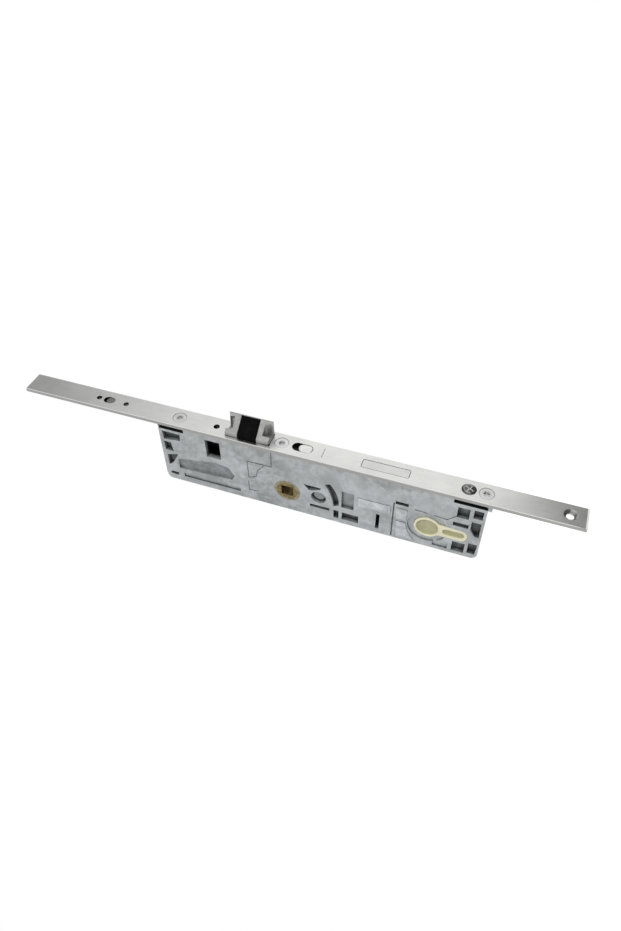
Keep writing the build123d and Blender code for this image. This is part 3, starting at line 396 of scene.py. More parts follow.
def strip_painted_shade(finish, base, shade):
    """Painted shade on the walls of the faceplate's openings, in its lines and in a ring round each
    screw, and darker sheared sides, partly their own tone and partly painted shade.
    """
    front, aside = finish.along("X"), finish.aside()
    # Painted shade down in the engraved lines.
    lines = finish.zone(front, *STRIP_LINES) * finish.step(aside, *LINE_SIDES)
    base = finish.blend(lines * 0.55, base, tint(shade, 0.3))
    # Painted shade, nearly black, on the walls of the openings, lighter at the fixing hole's height.
    walls = finish.zone(front, *STRIP_WALLS) * finish.step(aside, *WALL_SIDES)
    fixing = finish.step(finish.along("Z"), *FIXING_HEIGHT)
    base = finish.blend(walls * (0.95 - 0.6 * fixing), base, tint(shade, 0.04))
    # Darker sheared sides: partly the cut edge's own duller tone, partly painted shade along the strip's
    # edges.
    base = finish.blend(finish.step(aside, *SHEARED_SIDES) * 0.85, base, tint(shade, 0.36))
    # A ring of painted shade round each case screw, where its head meets the strip.
    for down in CASE_SCREWS:
        ring = finish.zone(finish.around(down), *SCREW_RING_SHADE)
        base = finish.blend(ring * 0.4, base, tint(shade, 0.35))
    return base


def brushed(name, shade, rough, painted_shade=None):
    """Satin steel brushed along the strip, with broad handling marks."""
    finish = Finish(name)
    streaks = finish.noise(BRUSHED_WAVES, 4.0, 0.6)
    fine = finish.noise(FINE_BRUSHED_WAVES, 2.0, 0.5)
    marks = finish.noise(45, 3.0)
    share = finish.band(streaks * 0.6 + marks * 0.4, 0.36, 0.64)
    base = finish.blend(share, tint(shade, 0.9), tint(shade, 1.05))
    if painted_shade:
        base = painted_shade(finish, base, shade)
    return finish.set(base_color=base, metallic=1.0,
                      roughness=rough + 0.12 * fine + 0.06 * marks - 0.09,
                      normal=finish.bump(streaks + 0.5 * fine, 0.10, 0.03))


def cast_zinc(name, light, dark):
    """As-cast zinc, mottled: painted shade in pockets, nooks and rod mouths, a painted shadow under the
    strip, lighter raised flats.
    """
    finish = Finish(name)
    cloud = finish.noise(75, 5.0, 0.62, swirl=0.6)
    patch = finish.noise(260, 4.0, 0.6, swirl=0.4)
    speck = finish.noise(1300, 3.0, 0.6)
    grain = finish.noise(5200, 2.0, 0.5)
    mottle = finish.band(cloud * 0.5 + patch * 0.35 + speck * 0.15, 0.38, 0.62)
    base = finish.blend(mottle, tint(light, 0.62), tint(light, 1.12))
    veins = finish.band(finish.noise(48, 4.0, 0.7, swirl=2.2), 0.47, 0.56)
    base = finish.blend(veins * 0.22, base, tint(light, 0.5))
    broad = finish.band(finish.noise(16, 2.0, 0.5), 0.35, 0.65)
    base = finish.blend(broad * 0.35, base, tint(light, 1.2))

    front, near, height = [finish.along(axis) for axis in "XYZ"]
    start, full = SKIN
    inside = (finish.step(front, start - CASE_BACK, full - CASE_BACK)
              * finish.step(height, start - CASE_END, full - CASE_END)
              * finish.step(height, CASE_TOP - start, CASE_TOP - full)
              * finish.step(height - front, *UPPER_CUT)
              * finish.step(0 - height - front, *LOWER_CUT))
    # Painted shade in the pockets, and by ambient occlusion in every nook of the case.
    deep = finish.step(near, *POCKET_SHADE) * inside
    shut = finish.shut_in(5, 0.82, 0.25)
    base = finish.blend((deep * 0.4).or_more(shut * 0.95), base, dark)
    # More painted shade on the pocket floors, made patchy.
    floor_shade = finish.step(near, *POCKET_FLOOR_SHADE) * inside
    base = finish.blend(floor_shade * (0.92 - 0.45 * finish.band(patch, 0.45, 0.7)), base, tint(dark, 0.7))
    # A painted shadow on the case just behind the faceplate, under its edges.
    base = finish.blend(finish.step(front, *SHADOW_UNDER_STRIP) * 0.55, base, tint(light, 0.3))
    # Painted shade, nearly black, in the cut rod mouths.
    upper, lower = [finish.zone(height, *heights) for heights in MOUTH_HEIGHTS]
    mouths = (upper + lower) * finish.step(front, *MOUTH_FLOOR_SHADE)
    base = finish.blend(mouths * 0.97, base, tint(dark, 0.1))
    # The raised flats made lighter.
    raised_flats = finish.step(near, *LIGHTER_FLATS)
    base = finish.blend(raised_flats * 0.6, base, finish.blend(mottle, tint(light, 1.0), tint(light, 1.6)))
    pits = finish.band(finish.cells(900), 0.0, 0.16)
    return finish.set(base_color=base, metallic=0.6, roughness=0.38 + 0.22 * patch + 0.08 * speck,
                      normal=finish.bump(speck + 0.5 * grain + 0.8 * pits + 1.2 * patch, 0.35, 0.12))


def latch_zinc(name, shade):
    """Tumbled zinc of the latch, with fine grain and painted shade in its nooks."""
    finish = Finish(name)
    cloud = finish.noise(190, 4.0, 0.6)
    grain = finish.noise(2600, 3.0, 0.6)
    scratch = finish.noise(TUMBLED_WAVES, 3.0, 0.6)
    share = finish.band(cloud * 0.6 + grain * 0.4, 0.36, 0.64)
    base = finish.blend(share, tint(shade, 0.8), tint(shade, 1.1))
    # Painted shade in the latch's nooks, by ambient occlusion.
    base = finish.blend(finish.shut_in(3, 0.8, 0.3) * 0.75, base, tint(shade, 0.25))
    return finish.set(base_color=base, metallic=0.85, roughness=0.30 + 0.16 * cloud + 0.06 * scratch,
                      normal=finish.bump(grain + 0.6 * scratch, 0.18, 0.05))


def plated(name, shade, rough, warmth=0.0):
    """Zinc-plated steel: a faint cloudy tint and fine blanking grain."""
    finish = Finish(name)
    cloud = finish.noise(120, 4.0, 0.6, swirl=0.8)
    grain = finish.noise(2400, 3.0, 0.6)
    cool = (shade[0] * 0.88, shade[1] * 0.92, shade[2])
    warm = (shade[0] * (1.04 + warmth), shade[1] * 1.02, shade[2] * (0.94 - warmth))
    base = finish.blend(finish.band(cloud * 0.75 + grain * 0.25, 0.36, 0.64), cool, warm)
    return finish.set(base_color=base, metallic=1.0, roughness=rough + 0.14 * cloud,
                      normal=finish.bump(grain + 0.5 * cloud, 0.12, 0.04))


def spangled(name, shade):
    """Plated sheet with faint crystal patches."""
    finish = Finish(name)
    tone = finish.node("ShaderNodeRGBToBW", (), {0: finish.cells(160, "Color")})
    cloud = finish.noise(60, 4.0, 0.6)
    grain = finish.noise(ROLLED_WAVES, 3.0, 0.6)
    base = finish.blend(tone * 0.5 + cloud * 0.5, tint(shade, 0.86), tint(shade, 1.06))
    return finish.set(base_color=base, metallic=1.0, roughness=0.30 + 0.12 * tone + 0.08 * cloud,
                      normal=finish.bump(grain + 0.4 * tone, 0.10, 0.04))


def tarnished(name, shade, dark, rough):
    """Turned brass or bronze with tarnish."""
    finish = Finish(name)
    cloud = finish.noise(420, 4.0, 0.62, swirl=0.5)
    speck = finish.noise(2600, 3.0, 0.6)
    base = finish.blend(finish.band(cloud * 0.7 + speck * 0.3, 0.38, 0.64), dark, shade)
    return finish.set(base_color=base, metallic=0.85, roughness=rough + 0.2 * cloud,
                      normal=finish.bump(speck + cloud, 0.15, 0.05))


def moulded(name, shade, recess, rough):
    """Moulded plastic, with painted shade on its recess floors, blotched darker at random."""
    finish = Finish(name)
    cloud = finish.noise(140, 3.0, 0.6)
    grain = finish.noise(3800, 2.0, 0.5)
    # Painted shade on the recess floors: an olive tone, blotched darker at random.
    depth = finish.zone(finish.along("Y"), *PLUG_RECESSES)
    base = finish.blend(finish.band(cloud, 0.35, 0.65), tint(shade, 0.93), tint(shade, 1.04))
    blotches = finish.band(finish.noise(330, 3.0, 0.6), 0.45, 0.65)
    base = finish.blend(depth * 0.9, base, finish.blend(blotches * 0.6, recess, tint(recess, 0.7)))
    return finish.set(base_color=base, roughness=rough + 0.12 * cloud, specular_ior_level=0.45,
                      normal=finish.bump(grain + 2 * cloud, 0.10, 0.05))


def black_plastic(name, shade):
    """Black glass-filled plastic with a fine grain."""
    finish = Finish(name)
    cloud = finish.noise(210, 4.0, 0.6)
    grain = finish.noise(4200, 3.0, 0.6)
    base = finish.blend(finish.band(cloud * 0.5 + grain * 0.5, 0.45, 0.7), shade, tint(shade, 2.6))
    return finish.set(base_color=base, roughness=0.5 + 0.18 * cloud, specular_ior_level=0.02,
                      normal=finish.bump(grain + cloud, 0.2, 0.04))


def screw_plating(name, shade, rough):
    """Satin plated screws with painted shade at the head's edge, round the socket and down its walls."""
    finish = Finish(name)
    cloud = finish.noise(240, 3.0, 0.6)
    turning = finish.noise(TURNED_WAVES, 3.0, 0.6)
    share = finish.band(cloud * 0.5 + turning * 0.5, 0.36, 0.64)
    base = finish.blend(share, tint(shade, 0.88), tint(shade, 1.08))
    for down in CASE_SCREWS:
        away = finish.around(down)
        # Painted shade where each head meets the faceplate, and round its socket.
        base = finish.blend(finish.zone(away, *HEAD_RING) * 0.6, base, tint(shade, 0.3))
        base = finish.blend(finish.zone(away, *SOCKET_RING) * 0.3, base, tint(shade, 0.3))
    # Painted shade down the sockets' walls.
    walls = finish.zone(finish.along("X"), *SOCKET_WALLS)
    base = finish.blend(walls * 0.6, base, tint(shade, 0.2))
    return finish.set(base_color=base, metallic=1.0, roughness=rough + 0.12 * cloud,
                      normal=finish.bump(turning, 0.1, 0.03))


def dark_plating(name, shade):
    """Dark glossy plating, with a painted highlight in the cross recess."""
    finish = Finish(name)
    cloud = finish.noise(500, 4.0, 0.6)
    scratch = finish.noise(SCUFFED_WAVES, 3.0, 0.6)
    base = finish.blend(finish.band(cloud * 0.6 + scratch * 0.4, 0.42, 0.66), shade, tint(shade, 2.2))
    # A light grey painted highlight in the cross recess.
    front, away = finish.along("X"), finish.around(CYLINDER_SCREW)
    cross_highlight = finish.step(front, *CROSS_FRONT) * finish.step(away, *CROSS_RADIUS)
    base = finish.blend(cross_highlight * 0.9, base, CROSS_HIGHLIGHT)
    return finish.set(base_color=base, metallic=1.0, roughness=0.14 + 0.14 * cloud + 0.05 * scratch,
                      normal=finish.bump(scratch + cloud, 0.12, 0.03))


finishes = {}


def finish_of(slot):
    """The material of one of the record's slots, made once."""
    if slot not in finishes:
        tones = bpy.context.scene.lock_colours
        makers = {
            "faceplate_steel": (brushed, tones.strip, 0.30, strip_painted_shade),
            "case_zinc": (cast_zinc, tones.zinc, tones.zinc_dark),
            "cover_steel": (spangled, tones.cover),
            "bright_screws": (screw_plating, tones.screw, 0.3),
            "cover_screw_steel": (plated, tones.steel, 0.30, 0.03),
            "dark_screw": (dark_plating, tones.dark_screw),
            "cream_plastic": (moulded, tones.cream, tones.olive, 0.36),
            "stud_steel": (plated, tint(tones.screw, 0.36), 0.34),
            "hub_brass": (tarnished, tones.brass, tint(tones.brass, 0.55), 0.32),
            "spring_steel": (plated, tones.steel, 0.2),
            "latch_zinc": (latch_zinc, tones.latch),
            "black_plastic": (black_plastic, tones.black),
            "hub_metal": (tarnished, tones.hub, tint(tones.hub, 0.45), 0.34),
            "rod_steel": (plated, tones.rod, 0.4),
            "inner_steel": (plated, tones.steel, 0.3, 0.02),
            "deadbolt_steel": (brushed, tint(tones.strip, 0.92), 0.32),
            "snib_steel": (brushed, tint(tones.strip, 1.03), 0.26),
        }
        maker, *settings = makers[slot]
        finishes[slot] = maker(slot, *settings)
    return finishes[slot]


slot_of = {part["node"]: part["material_slot"] for part in frame["record"]["subparts"]}
bodies = frame["record"]["behaviour"]["bodies"]
body_of = {node: body for body, nodes in bodies.items() for node in nodes}


def loose_object(name, bm):
    """An object in the scene, from a bmesh that is used up."""
    mesh = bpy.data.meshes.new(name)
    bm.to_mesh(mesh)
    bm.free()
    item = bpy.data.objects.new(name, mesh)
    bpy.context.scene.collection.objects.link(item)
    return item


def cleaned(bm):
    """The same bmesh with its triangles joined and its flat areas made whole."""
    bmesh.ops.remove_doubles(bm, verts=bm.verts, dist=WELD)
    bmesh.ops.dissolve_limit(bm, angle_limit=FLAT_ANGLE, verts=bm.verts, edges=bm.edges)
    return bm


def merged(node):
    """A CAD node's mesh as a clean bmesh."""
    bm = bmesh.new()
    bm.from_mesh(frame["nodes"][node].data)
    return cleaned(bm)


def turn_of(edge):
    """How far the surface turns at an edge."""
    return edge.calc_face_angle(math.pi) if len(edge.link_faces) == 2 else math.pi


def bevelled(bm, edges, width, segments):
    """The new faces of rounded edges. Edges too short for this width hold it back on the whole mesh."""
    rounding = bmesh.ops.bevel(bm, geom=edges, offset=width, offset_type="OFFSET", segments=segments,
                               profile=0.5, affect="EDGES", clamp_overlap=True, material=-1)
    return rounding["faces"]


def round_edges(bm, width, segments):
    """Rounds every edge that turns more than the edge angle. Flat faces stay flat shaded."""
    for face in bm.faces:
        face.smooth = any(FLAT_ANGLE < turn_of(edge) < EDGE_ANGLE for edge in face.edges)
    sharp = [edge for edge in bm.edges if len(edge.link_faces) == 2 and turn_of(edge) > EDGE_ANGLE]
    for face in bevelled(bm, sharp, width, segments):
        face.smooth = True
    for edge in bm.edges:
        edge.smooth = turn_of(edge) < SMOOTH_ANGLE


def soften(bm, picked, width, segments):
    """Rounds the edges that are picked."""
    bevelled(bm, [edge for edge in bm.edges if picked(edge)], width, segments)


def made(name, bm, body, slot, *stands_for):
    """Turns a bmesh into a piece that rides on a body, has a slot's finish and stands for CAD nodes."""
    piece = loose_object(name, bm)
    piece.data.materials.append(finish_of(slot))
    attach(piece, body)
    if stands_for:
        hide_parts(*stands_for)
    return piece


def rounded(node, width, segments=2):
    """Makes a finer copy of a CAD node, with rounded edges, that stands for it."""
    bm = merged(node)
    round_edges(bm, width, segments)
    made(node + "_rounded", bm, body_of[node], slot_of[node], node)


def dressed(node):
    """Gives a CAD node its finish and leaves its shape."""
    piece = frame["nodes"][node]
    for slot in piece.material_slots:
        slot.material = finish_of(slot_of[node])
    if not piece.material_slots:
        piece.data.materials.append(finish_of(slot_of[node]))


def carved(bm, cutters, operation="DIFFERENCE"):
    """The shape with each cutter cut away, or joined on."""
    target = loose_object("target", bm)
    tools = [loose_object("cutter", cutter) for cutter in cutters]
    for tool in tools:
        step = target.modifiers.new("step", "BOOLEAN")
        step.operation = operation
        step.solver = "EXACT"
        step.object = tool
    result = bmesh.new()
    result.from_object(target, bpy.context.evaluated_depsgraph_get())
    for item in [target] + tools:
        mesh = item.data
        bpy.data.objects.remove(item)
        bpy.data.meshes.remove(mesh)
    return cleaned(result)


def spot(down, near, deep):
    """A point from millimetres down from the spindle, towards the near side and into the door."""
    return Vector((-deep, -near, -down)) * MM


def oblong(firsts, seconds):
    """The corners of a rectangle, in turn, from its two pairs of limits."""
    return [(firsts[0], seconds[0]), (firsts[1], seconds[0]), (firsts[1], seconds[1]),
            (firsts[0], seconds[1])]


def swept(bm, way):
    """The faces of a flat bmesh drawn along a way into a closed shape."""
    drawn = bmesh.ops.extrude_face_region(bm, geom=bm.faces[:], use_keep_orig=True)
    bmesh.ops.translate(bm, vec=way,
                        verts=[item for item in drawn["geom"] if isinstance(item, bmesh.types.BMVert)])
    bmesh.ops.recalc_face_normals(bm, faces=bm.faces)
    return bm


def prism(corners, way):
    """A closed shape from flat corners swept along a way."""
    bm = bmesh.new()
    bm.faces.new([bm.verts.new(corner) for corner in corners])
    return swept(bm, way)


def bar_down(start, outline, reach):
    """A bar along the strip, from an outline in pairs of near and deep."""
    return prism([spot(start, near, deep) for near, deep in outline], DOWN * reach * MM)


def bar_in(start, outline, reach):
    """A bar into the door, from an outline in pairs of down and near."""
    return prism([spot(down, near, start) for down, near in outline], -FRONT * reach * MM)


def bar_across(outline, low, high):
    """A bar through the lock's thickness, from an outline in pairs of down and deep."""
    return prism([spot(down, low, deep) for down, deep in outline], NEAR * (high - low) * MM)


def disc_across(down, deep, radius, low, high):
    """A round bar through the lock's thickness."""
    bm = bmesh.new()
    place = Matrix.Translation(spot(down, low, deep)) @ Matrix.Rotation(math.pi / 2, 4, "X")
    bmesh.ops.create_circle(bm, cap_ends=True, segments=DISC_SIDES, radius=radius * MM, matrix=place)
    return swept(bm, NEAR * (high - low) * MM)


def runs_across(edge):
    """Tells whether an edge runs through the lock's thickness."""
    way = edge.verts[0].co - edge.verts[1].co
    return abs(way.y) > MM and abs(way.x) + abs(way.z) < WELD


def bevel_spot(down, near, height):
    """A point that stands this high over the latch's bevel."""
    share = (LATCH_HALF - near) / LATCH_RUN
    slope = math.hypot(LATCH_RUN, LATCH_RISE)
    deep = -LATCH_SHOULDER - LATCH_RISE * share
    return spot(down, near + height * LATCH_RISE / slope, deep - height * LATCH_RUN / slope)


def latch_shape():
    """The latch: a bevelled block and heel, with notched ends, a scoop and room for insert and tail."""
    section = [(LATCH_HALF, LATCH_BACK), (LATCH_HALF, -LATCH_SHOULDER),
               (LATCH_HALF - LATCH_RUN, -LATCH_REACH), (-LATCH_HALF, -LATCH_REACH),
               (-LATCH_HALF, LATCH_BACK)]
    heel = bar_down(LATCH_TOP + HEEL_START, oblong(HEEL_NEARS, HEEL_DEEPS), HEEL_LENGTH)
    block = carved(bar_down(LATCH_TOP, section, LATCH_LENGTH), [heel], "UNION")
    into_cheek = bevel_spot(0, 0, CHEEK_UNDER) - bevel_spot(0, 0, CHEEK_ABOVE)
    block = carved(block, [
        bar_down(LATCH_TOP + INSERT_START, INSERT_ROOM, INSERT_LENGTH),
        bar_in(NOTCH_DEEP, UPPER_NOTCH, NOTCH_LENGTH),
        prism([bevel_spot(down, near, CHEEK_ABOVE) for down, near in CHEEK_SCOOP], into_cheek),
        bar_in(NOTCH_DEEP, LOWER_NOTCH, NOTCH_LENGTH),
        bar_in(TAIL_DEEP, oblong(TAIL_DOWNS, TAIL_NEARS), TAIL_LENGTH),
    ])
    corner = spot(LATCH_TOP + LATCH_LENGTH, LATCH_HALF, 0)

    def at_lower_near_corner(edge):
        return all(abs((vert.co - corner).z) + abs((vert.co - corner).y) < WELD for vert in edge.verts)

    soften(block, at_lower_near_corner, LATCH_CORNER * MM, 5)
    return block


def long_dish(start, end, half, low, high):
    """A round-ended bar through the lock's thickness, below the plug's middle."""
    bm = bar_across(oblong((PLUG_DOWN + start, PLUG_DOWN + end), (PLUG_DEEP - half, PLUG_DEEP + half)),
                    low, high)
    soften(bm, runs_across, half * ROUND_END_SHARE * MM, ROUND_END_STEPS)
    return bm


def plug_body():
    """The plug's keyhole block. Its two parts are joined longer, then cut flat at both ends."""
    near_end, far_end = PLUG_ENDS
    bow = disc_across(PLUG_DOWN, PLUG_DEEP, PLUG_RADIUS, far_end - OVERRUN, near_end + OVERRUN)
    leg = long_dish(0.0, PLUG_REACH, PLUG_HALF, far_end - 2 * OVERRUN, near_end + 2 * OVERRUN)
    body = carved(bow, [leg], "UNION")
    for end, way in ((near_end, NEAR), (far_end, -NEAR)):
        bmesh.ops.bisect_plane(body, geom=body.verts[:] + body.edges[:] + body.faces[:],
                               plane_co=spot(0, end, 0), plane_no=way, clear_outer=True)
        bmesh.ops.holes_fill(body, edges=[edge for edge in body.edges if edge.is_boundary], sides=0)
    return body


def plug_shape():
    """The transport plug: a smooth keyhole block with a round dish and a long one in both ends."""
    body = plug_body()
    neck = math.sqrt(PLUG_RADIUS ** 2 - PLUG_HALF ** 2)

    def at_neck(edge):
        place = edge.verts[0].co / MM
        return (runs_across(edge) and abs(-place.z - PLUG_DOWN - neck) < NECK_SLACK
                and abs(abs(-place.x - PLUG_DEEP) - PLUG_HALF) < NECK_SLACK)

    soften(body, at_neck, NECK_ROUND * MM, 6)
    cutters = []
    near_end, far_end = PLUG_ENDS
    for low, high in ((near_end - DISH_DEPTH, near_end + OVERRUN),
                      (far_end - OVERRUN, far_end + DISH_DEPTH)):
        cutters.append(disc_across(PLUG_DOWN, PLUG_DEEP, PLUG_RADIUS - ROUND_DISH_WALL, low, high))
        cutters.append(long_dish(LONG_DISH_START, PLUG_REACH - LONG_DISH_STOP,
                                 PLUG_HALF - LONG_DISH_WALL, low, high))
    half = SCREW_HOLE_HALF
    screw_hole = oblong((CYLINDER_SCREW - half, CYLINDER_SCREW + half), (-half, half))
    cutters.append(bar_in(0.0, screw_hole, SCREW_HOLE_LENGTH))
    return carved(body, cutters)


def corner_wall():
    """A round wall for the case's lower back corner, with a leg along the end and one up the back."""
    end_leg, back_leg = CASE_BACK - CORNER_LEG, CASE_END - CORNER_LEG
    inner_end, inner_back = CASE_END - CORNER_WALL, CASE_BACK - CORNER_WALL
    bm = bar_across([(CASE_END, end_leg), (CASE_END, CASE_BACK), (back_leg, CASE_BACK),
                     (back_leg, inner_back), (inner_end, inner_back), (inner_end, end_leg)], *CASE_FACES)
    for down, deep, radius in ((CASE_END, CASE_BACK, CORNER_RADIUS),
                               (inner_end, inner_back, CORNER_RADIUS - CORNER_WALL)):
        corner = spot(down, 0, deep)

        def at_this_corner(edge):
            away = edge.verts[0].co - corner
            return runs_across(edge) and abs(away.x) + abs(away.z) < WELD

        soften(bm, at_this_corner, radius * MM, CORNER_STEPS)
    return bm


def in_scoop(edge):
    """Tells whether an edge belongs to the case's shallow scoop."""
    return all(low < -part / MM < high for vert in edge.verts
               for (low, high), part in zip(SCOOP, (vert.co.z, vert.co.x, vert.co.y)))


def at_upper_corner(edge):
    """Tells whether an edge runs through the case's thickness at its upper back corner."""
    place = edge.verts[0].co
    return runs_across(edge) and place.x < -UPPER_CORNER_DEEP * MM and place.z > -UPPER_CORNER_DOWN * MM


def case_shape():
    """The case with a round lower back corner, cut rod mouths and soft edges on scoop and corner."""
    bm = carved(merged("case_body"), [corner_wall()], "UNION")
    bm = carved(bm, [bar_across(oblong(downs, MOUTH_DEEPS), *MOUTH_NEARS) for downs in MOUTHS])
    sizes = bpy.context.scene.lock_sizes
    soften(bm, in_scoop, sizes.scoop_round, 4)
    soften(bm, at_upper_corner, sizes.corner_round, 5)
    return bm


def coil(node):
    """Makes a spring of round wire along X that stands for a CAD node."""
    low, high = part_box(node)
    wire = WIRE_RADIUS * MM
    radius = (high.z - low.z) / 2 - wire
    middle = (low + high) / 2
    start = Vector((low.x + wire, middle.y, middle.z + radius))
    bm = bmesh.new()
    bmesh.ops.create_circle(bm, cap_ends=False, segments=WIRE_SIDES, radius=wire,
                            matrix=Matrix.Translation(start) @ Matrix.Rotation(math.pi / 2, 4, "X"))
    count = int(COIL_TURNS * COIL_STEPS)
    step = (high.x - low.x - 2 * wire) / count
    bmesh.ops.spin(bm, geom=bm.verts[:] + bm.edges[:], cent=(low.x, middle.y, middle.z), axis=(1, 0, 0),
                   dvec=(step, 0, 0), angle=2 * math.pi * COIL_TURNS, steps=count, use_merge=False)
    bmesh.ops.holes_fill(bm, edges=[edge for edge in bm.edges if edge.is_boundary], sides=0)
    bmesh.ops.recalc_face_normals(bm, faces=bm.faces)
    for face in bm.faces:
        face.smooth = len(face.verts) == 4
    piece = made(node + "_coil", bm, body_of[node], slot_of[node], node)
    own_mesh(piece)


class PieceOperator(bpy.types.Operator):
    """Base of the lock's operators, which can be undone."""
    bl_options = {"REGISTER", "UNDO"}


class LOCK_OT_faceplate(PieceOperator):
    """Rounds and brushes the faceplate."""
    bl_idname = "lock.faceplate"
    bl_label = "Faceplate"

    def execute(self, context):
        rounded("faceplate", context.scene.lock_sizes.strip_round)
        return {"FINISHED"}


class LOCK_OT_case(PieceOperator):
    """Shapes and rounds the zinc case and finishes its cover."""
    bl_idname = "lock.case"
    bl_label = "Case"

    def execute(self, context):
        sizes = context.scene.lock_sizes
        bm = case_shape()
        round_edges(bm, sizes.cast_round, 2)
        made("case_body_rounded", bm, "case", "case_zinc", "case_body")
        rounded("case_cover", sizes.steel_round)
        return {"FINISHED"}


class LOCK_OT_screws(PieceOperator):
    """Finishes the screws and the stud."""
    bl_idname = "lock.screws"
    bl_label = "Screws"

    def execute(self, context):
        for node in ("case_screws", "cover_screws", "cylinder_screw", "rod_stud"):
            rounded(node, context.scene.lock_sizes.steel_round)
        return {"FINISHED"}


class LOCK_OT_plug(PieceOperator):
    """Shapes and rounds the cream transport plug."""
    bl_idname = "lock.plug"
    bl_label = "Transport plug"

    def execute(self, context):
        bm = plug_shape()
        round_edges(bm, context.scene.lock_sizes.plug_round, 3)
        made("cylinder_plug_shaped", bm, body_of["cylinder_plug"], "cream_plastic", "cylinder_plug")
        return {"FINISHED"}


class LOCK_OT_latch(PieceOperator):
    """Shapes and rounds the latch and finishes its inner parts."""
    bl_idname = "lock.latch"
    bl_label = "Latch"

    def execute(self, context):
        sizes = context.scene.lock_sizes
        bm = latch_shape()
        round_edges(bm, sizes.latch_round, 3)
        made("latch_bolt_shaped", bm, "latch", "latch_zinc", "latch_bolt")
        for node in ("latch_insert", "latch_tail", "latch_rivet", "latch_spring_rod"):
            rounded(node, sizes.steel_round)
        return {"FINISHED"}


class LOCK_OT_hub(PieceOperator):
    """Finishes the spindle hub and its two bushes."""
    bl_idname = "lock.hub"
    bl_label = "Spindle hub"

    def execute(self, context):
        for node in ("spindle_hub", "near_hub_bush", "far_hub_bush"):
            rounded(node, context.scene.lock_sizes.steel_round)
        return {"FINISHED"}


class LOCK_OT_deadbolt(PieceOperator):
    """Finishes the deadbolt and the drive behind it."""
    bl_idname = "lock.deadbolt"
    bl_label = "Deadbolt and drive"

    def execute(self, context):
        for node in ("deadbolt", "deadbolt_pin", "drive_slide", "upper_rod", "lower_rod", "pinion_pin",
                     "slide_guide_pin"):
            rounded(node, context.scene.lock_sizes.steel_round)
        for node in ("drive_pinion", "detent_ball"):
            dressed(node)
        return {"FINISHED"}


class LOCK_OT_snib(PieceOperator):
    """Finishes the snib."""
    bl_idname = "lock.snib"
    bl_label = "Snib"

    def execute(self, context):
        rounded("snib_button", context.scene.lock_sizes.snib_round, 3)
        rounded("snib_plate", context.scene.lock_sizes.steel_round)
        return {"FINISHED"}


class LOCK_OT_springs(PieceOperator):
    """Winds the latch's spring and the hub's, and finishes the small one."""
    bl_idname = "lock.springs"
    bl_label = "Springs"

    def execute(self, context):
        for node, joint, fixed_end, keep in COILS:
            coil(node)
        dressed("detent_spring")
        return {"FINISHED"}


def lamp(name, place, width, power):
    """Adds a square soft lamp that shines on the lock's middle and that mirrors don't show."""
    data = bpy.data.lights.new(name, "AREA")
    data.shape = "SQUARE"
    data.size = width
    data.energy = power
    way = (cad_box[0] + cad_box[1]) / 2 - Vector(place)
    lamp_object = bpy.data.objects.new(name, data)
    lamp_object.location = place
    lamp_object.rotation_euler = way.to_track_quat("-Z", "Y").to_euler()
    lamp_object.visible_glossy = False
    bpy.context.scene.collection.objects.link(lamp_object)


def flat_square(name, corners, material):
    """A flat four-sided stage piece."""
    bm = bmesh.new()
    bm.faces.new([bm.verts.new(corner) for corner in corners])
    square = loose_object(name, bm)
    square.data.materials.append(material)
    return square


def floor_material():
    """Pale floor that the camera and mirrors see nearly white and that keeps shadows."""
    finish = Finish("pale_floor")
    rays = finish.node("ShaderNodeLightPath", output="Is Camera Ray")
    gloss = finish.node("ShaderNodeLightPath", output="Is Glossy Ray")
    clear = finish.node("ShaderNodeLightPath", output="Is Transmission Ray")
    finish.set(base_color=finish.blend(finish.noise(4, 3.0), *FLOOR_TONES), roughness=0.9)
    glow = finish.node("ShaderNodeEmission", (), {"Color": (1, 1, 1), "Strength": FLOOR_GLOW})
    lit = Shade(finish.tree, finish.shader.outputs[0])
    share = (rays + gloss + clear).or_less(1.0) * FLOOR_GLOW_SHARE
    mix = finish.node("ShaderNodeMixShader", (), {0: share, 1: lit, 2: glow})
    join(finish.tree, mix, finish.tree.nodes["Material Output"].inputs["Surface"])
    return finish.material


def card_material(name, low, high, bright, dim):
    """Grey card that dims from a low height to a high one."""
    finish = Finish(name)
    share = finish.node("ShaderNodeMapRange", {"clamp": True},
                        {"Value": finish.along("Z"), "From Min": low, "From Max": high})
    shade = finish.blend(share, (bright, bright, bright), (dim, dim, dim))
    weave = finish.band(finish.noise(8, 2.0), 0.2, 0.8)
    return finish.set(base_color=(0, 0, 0), roughness=1.0, specular_ior_level=0.0, emission_strength=1.0,
                      emission_color=finish.blend(weave * 0.1, shade, (dim, dim, dim)))


def card(name, corners, tones):
    """Adds a grey card that only mirrors see, for the darker ends of polished metal."""
    square = flat_square(name, corners, card_material(name, *tones))
    square.visible_camera = False
    square.visible_diffuse = False
    square.visible_shadow = False
    square.visible_transmission = False


def pale_world():
    """Sets a world that camera and mirrors see white and that lights the lock more softly."""
    world = bpy.data.worlds.new("pale_world")
    world.use_nodes = True
    tree = world.node_tree
    paths = tree.nodes.new("ShaderNodeLightPath")
    seen = (Shade(tree, paths.outputs["Is Camera Ray"]) + Shade(tree, paths.outputs["Is Glossy Ray"])
            + Shade(tree, paths.outputs["Is Transmission Ray"])).or_less(1.0)
    ground = tree.nodes["Background"]
    ground.inputs["Color"].default_value = (1, 1, 1, 1)
    join(tree, seen * WORLD_MORE_SEEN + WORLD_LIGHT, ground.inputs["Strength"])
    bpy.context.scene.world = world


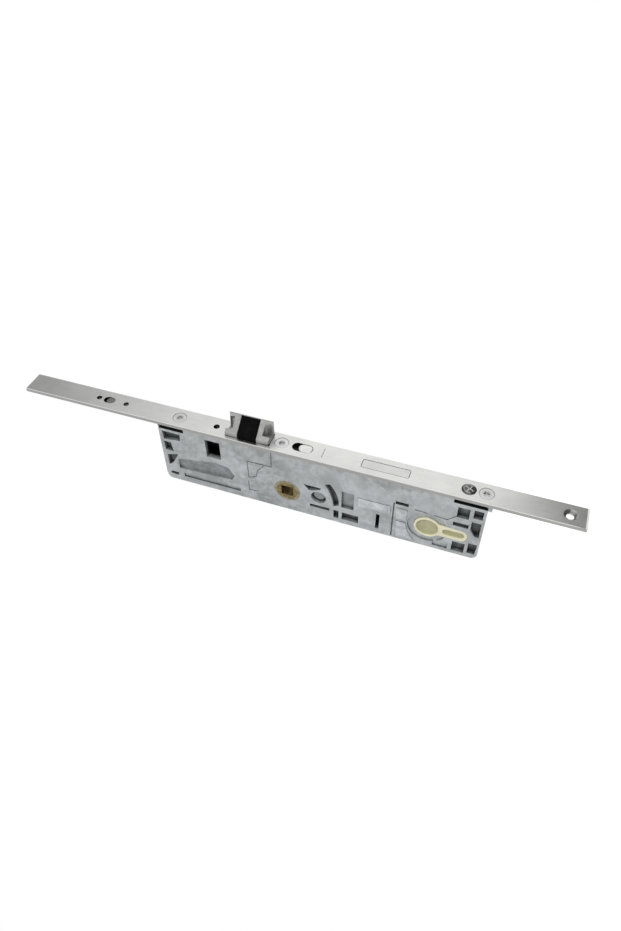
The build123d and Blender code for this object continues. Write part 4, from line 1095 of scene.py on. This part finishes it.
def photo_camera():
    """Adds the camera at the photograph's place and angle."""
    data = bpy.data.cameras.new("camera")
    data.lens = CAMERA_LENS
    data.clip_start = CAMERA_START
    camera = bpy.data.objects.new("camera", data)
    camera.location = CAMERA_PLACE
    camera.rotation_euler = [math.radians(angle) for angle in CAMERA_TURN]
    bpy.context.scene.collection.objects.link(camera)
    bpy.context.scene.camera = camera


class LOCK_OT_stage(PieceOperator):
    """Makes the floor, the cards, the lamps, the pale world and the camera."""
    bl_idname = "lock.stage"
    bl_label = "Stage"

    def execute(self, context):
        half = context.scene.lock_sizes.floor_width / 2
        low = cad_box[0].z
        flat_square("floor", [(x, y, low) for x, y in oblong((-half, half), (-half, half))],
                    floor_material())
        card("upper_card", UPPER_CARD, UPPER_CARD_TONES)
        card("lower_card", [(x, y, low + MM) for x, y in oblong(*LOWER_CARD)], LOWER_CARD_TONES)
        for settings in LAMPS:
            lamp(*settings)
        pale_world()
        photo_camera()
        context.scene.view_settings.view_transform = "Standard"
        return {"FINISHED"}


operators = (LOCK_OT_stage, LOCK_OT_faceplate, LOCK_OT_case, LOCK_OT_screws, LOCK_OT_plug, LOCK_OT_latch,
             LOCK_OT_hub, LOCK_OT_deadbolt, LOCK_OT_snib, LOCK_OT_springs)


class LOCK_PT_panel(bpy.types.Panel):
    """Lists the lock's operators, sizes and colours."""
    bl_idname = "LOCK_PT_panel"
    bl_label = "Multipoint lock"
    bl_space_type = "VIEW_3D"
    bl_region_type = "UI"
    bl_category = "Lock"

    def draw(self, context):
        for operator in operators:
            self.layout.operator(operator.bl_idname)
        for group in (context.scene.lock_sizes, context.scene.lock_colours):
            for name in group.__annotations__:
                self.layout.prop(group, name)


classes = (LockSizes, LockColours) + operators + (LOCK_PT_panel,)


def register():
    """Makes the classes and the scene's sizes and colours known to Blender."""
    for kind in classes:
        bpy.utils.register_class(kind)
    bpy.types.Scene.lock_sizes = bpy.props.PointerProperty(type=LockSizes)
    bpy.types.Scene.lock_colours = bpy.props.PointerProperty(type=LockColours)


def unregister():
    """Takes back what register did."""
    del bpy.types.Scene.lock_colours
    del bpy.types.Scene.lock_sizes
    for kind in reversed(classes):
        bpy.utils.unregister_class(kind)


def main():
    """Makes every piece."""
    register()
    for operator in operators:
        group, name = operator.bl_idname.split(".")
        getattr(getattr(bpy.ops, group), name)()


if __name__ == "__main__":
    main()
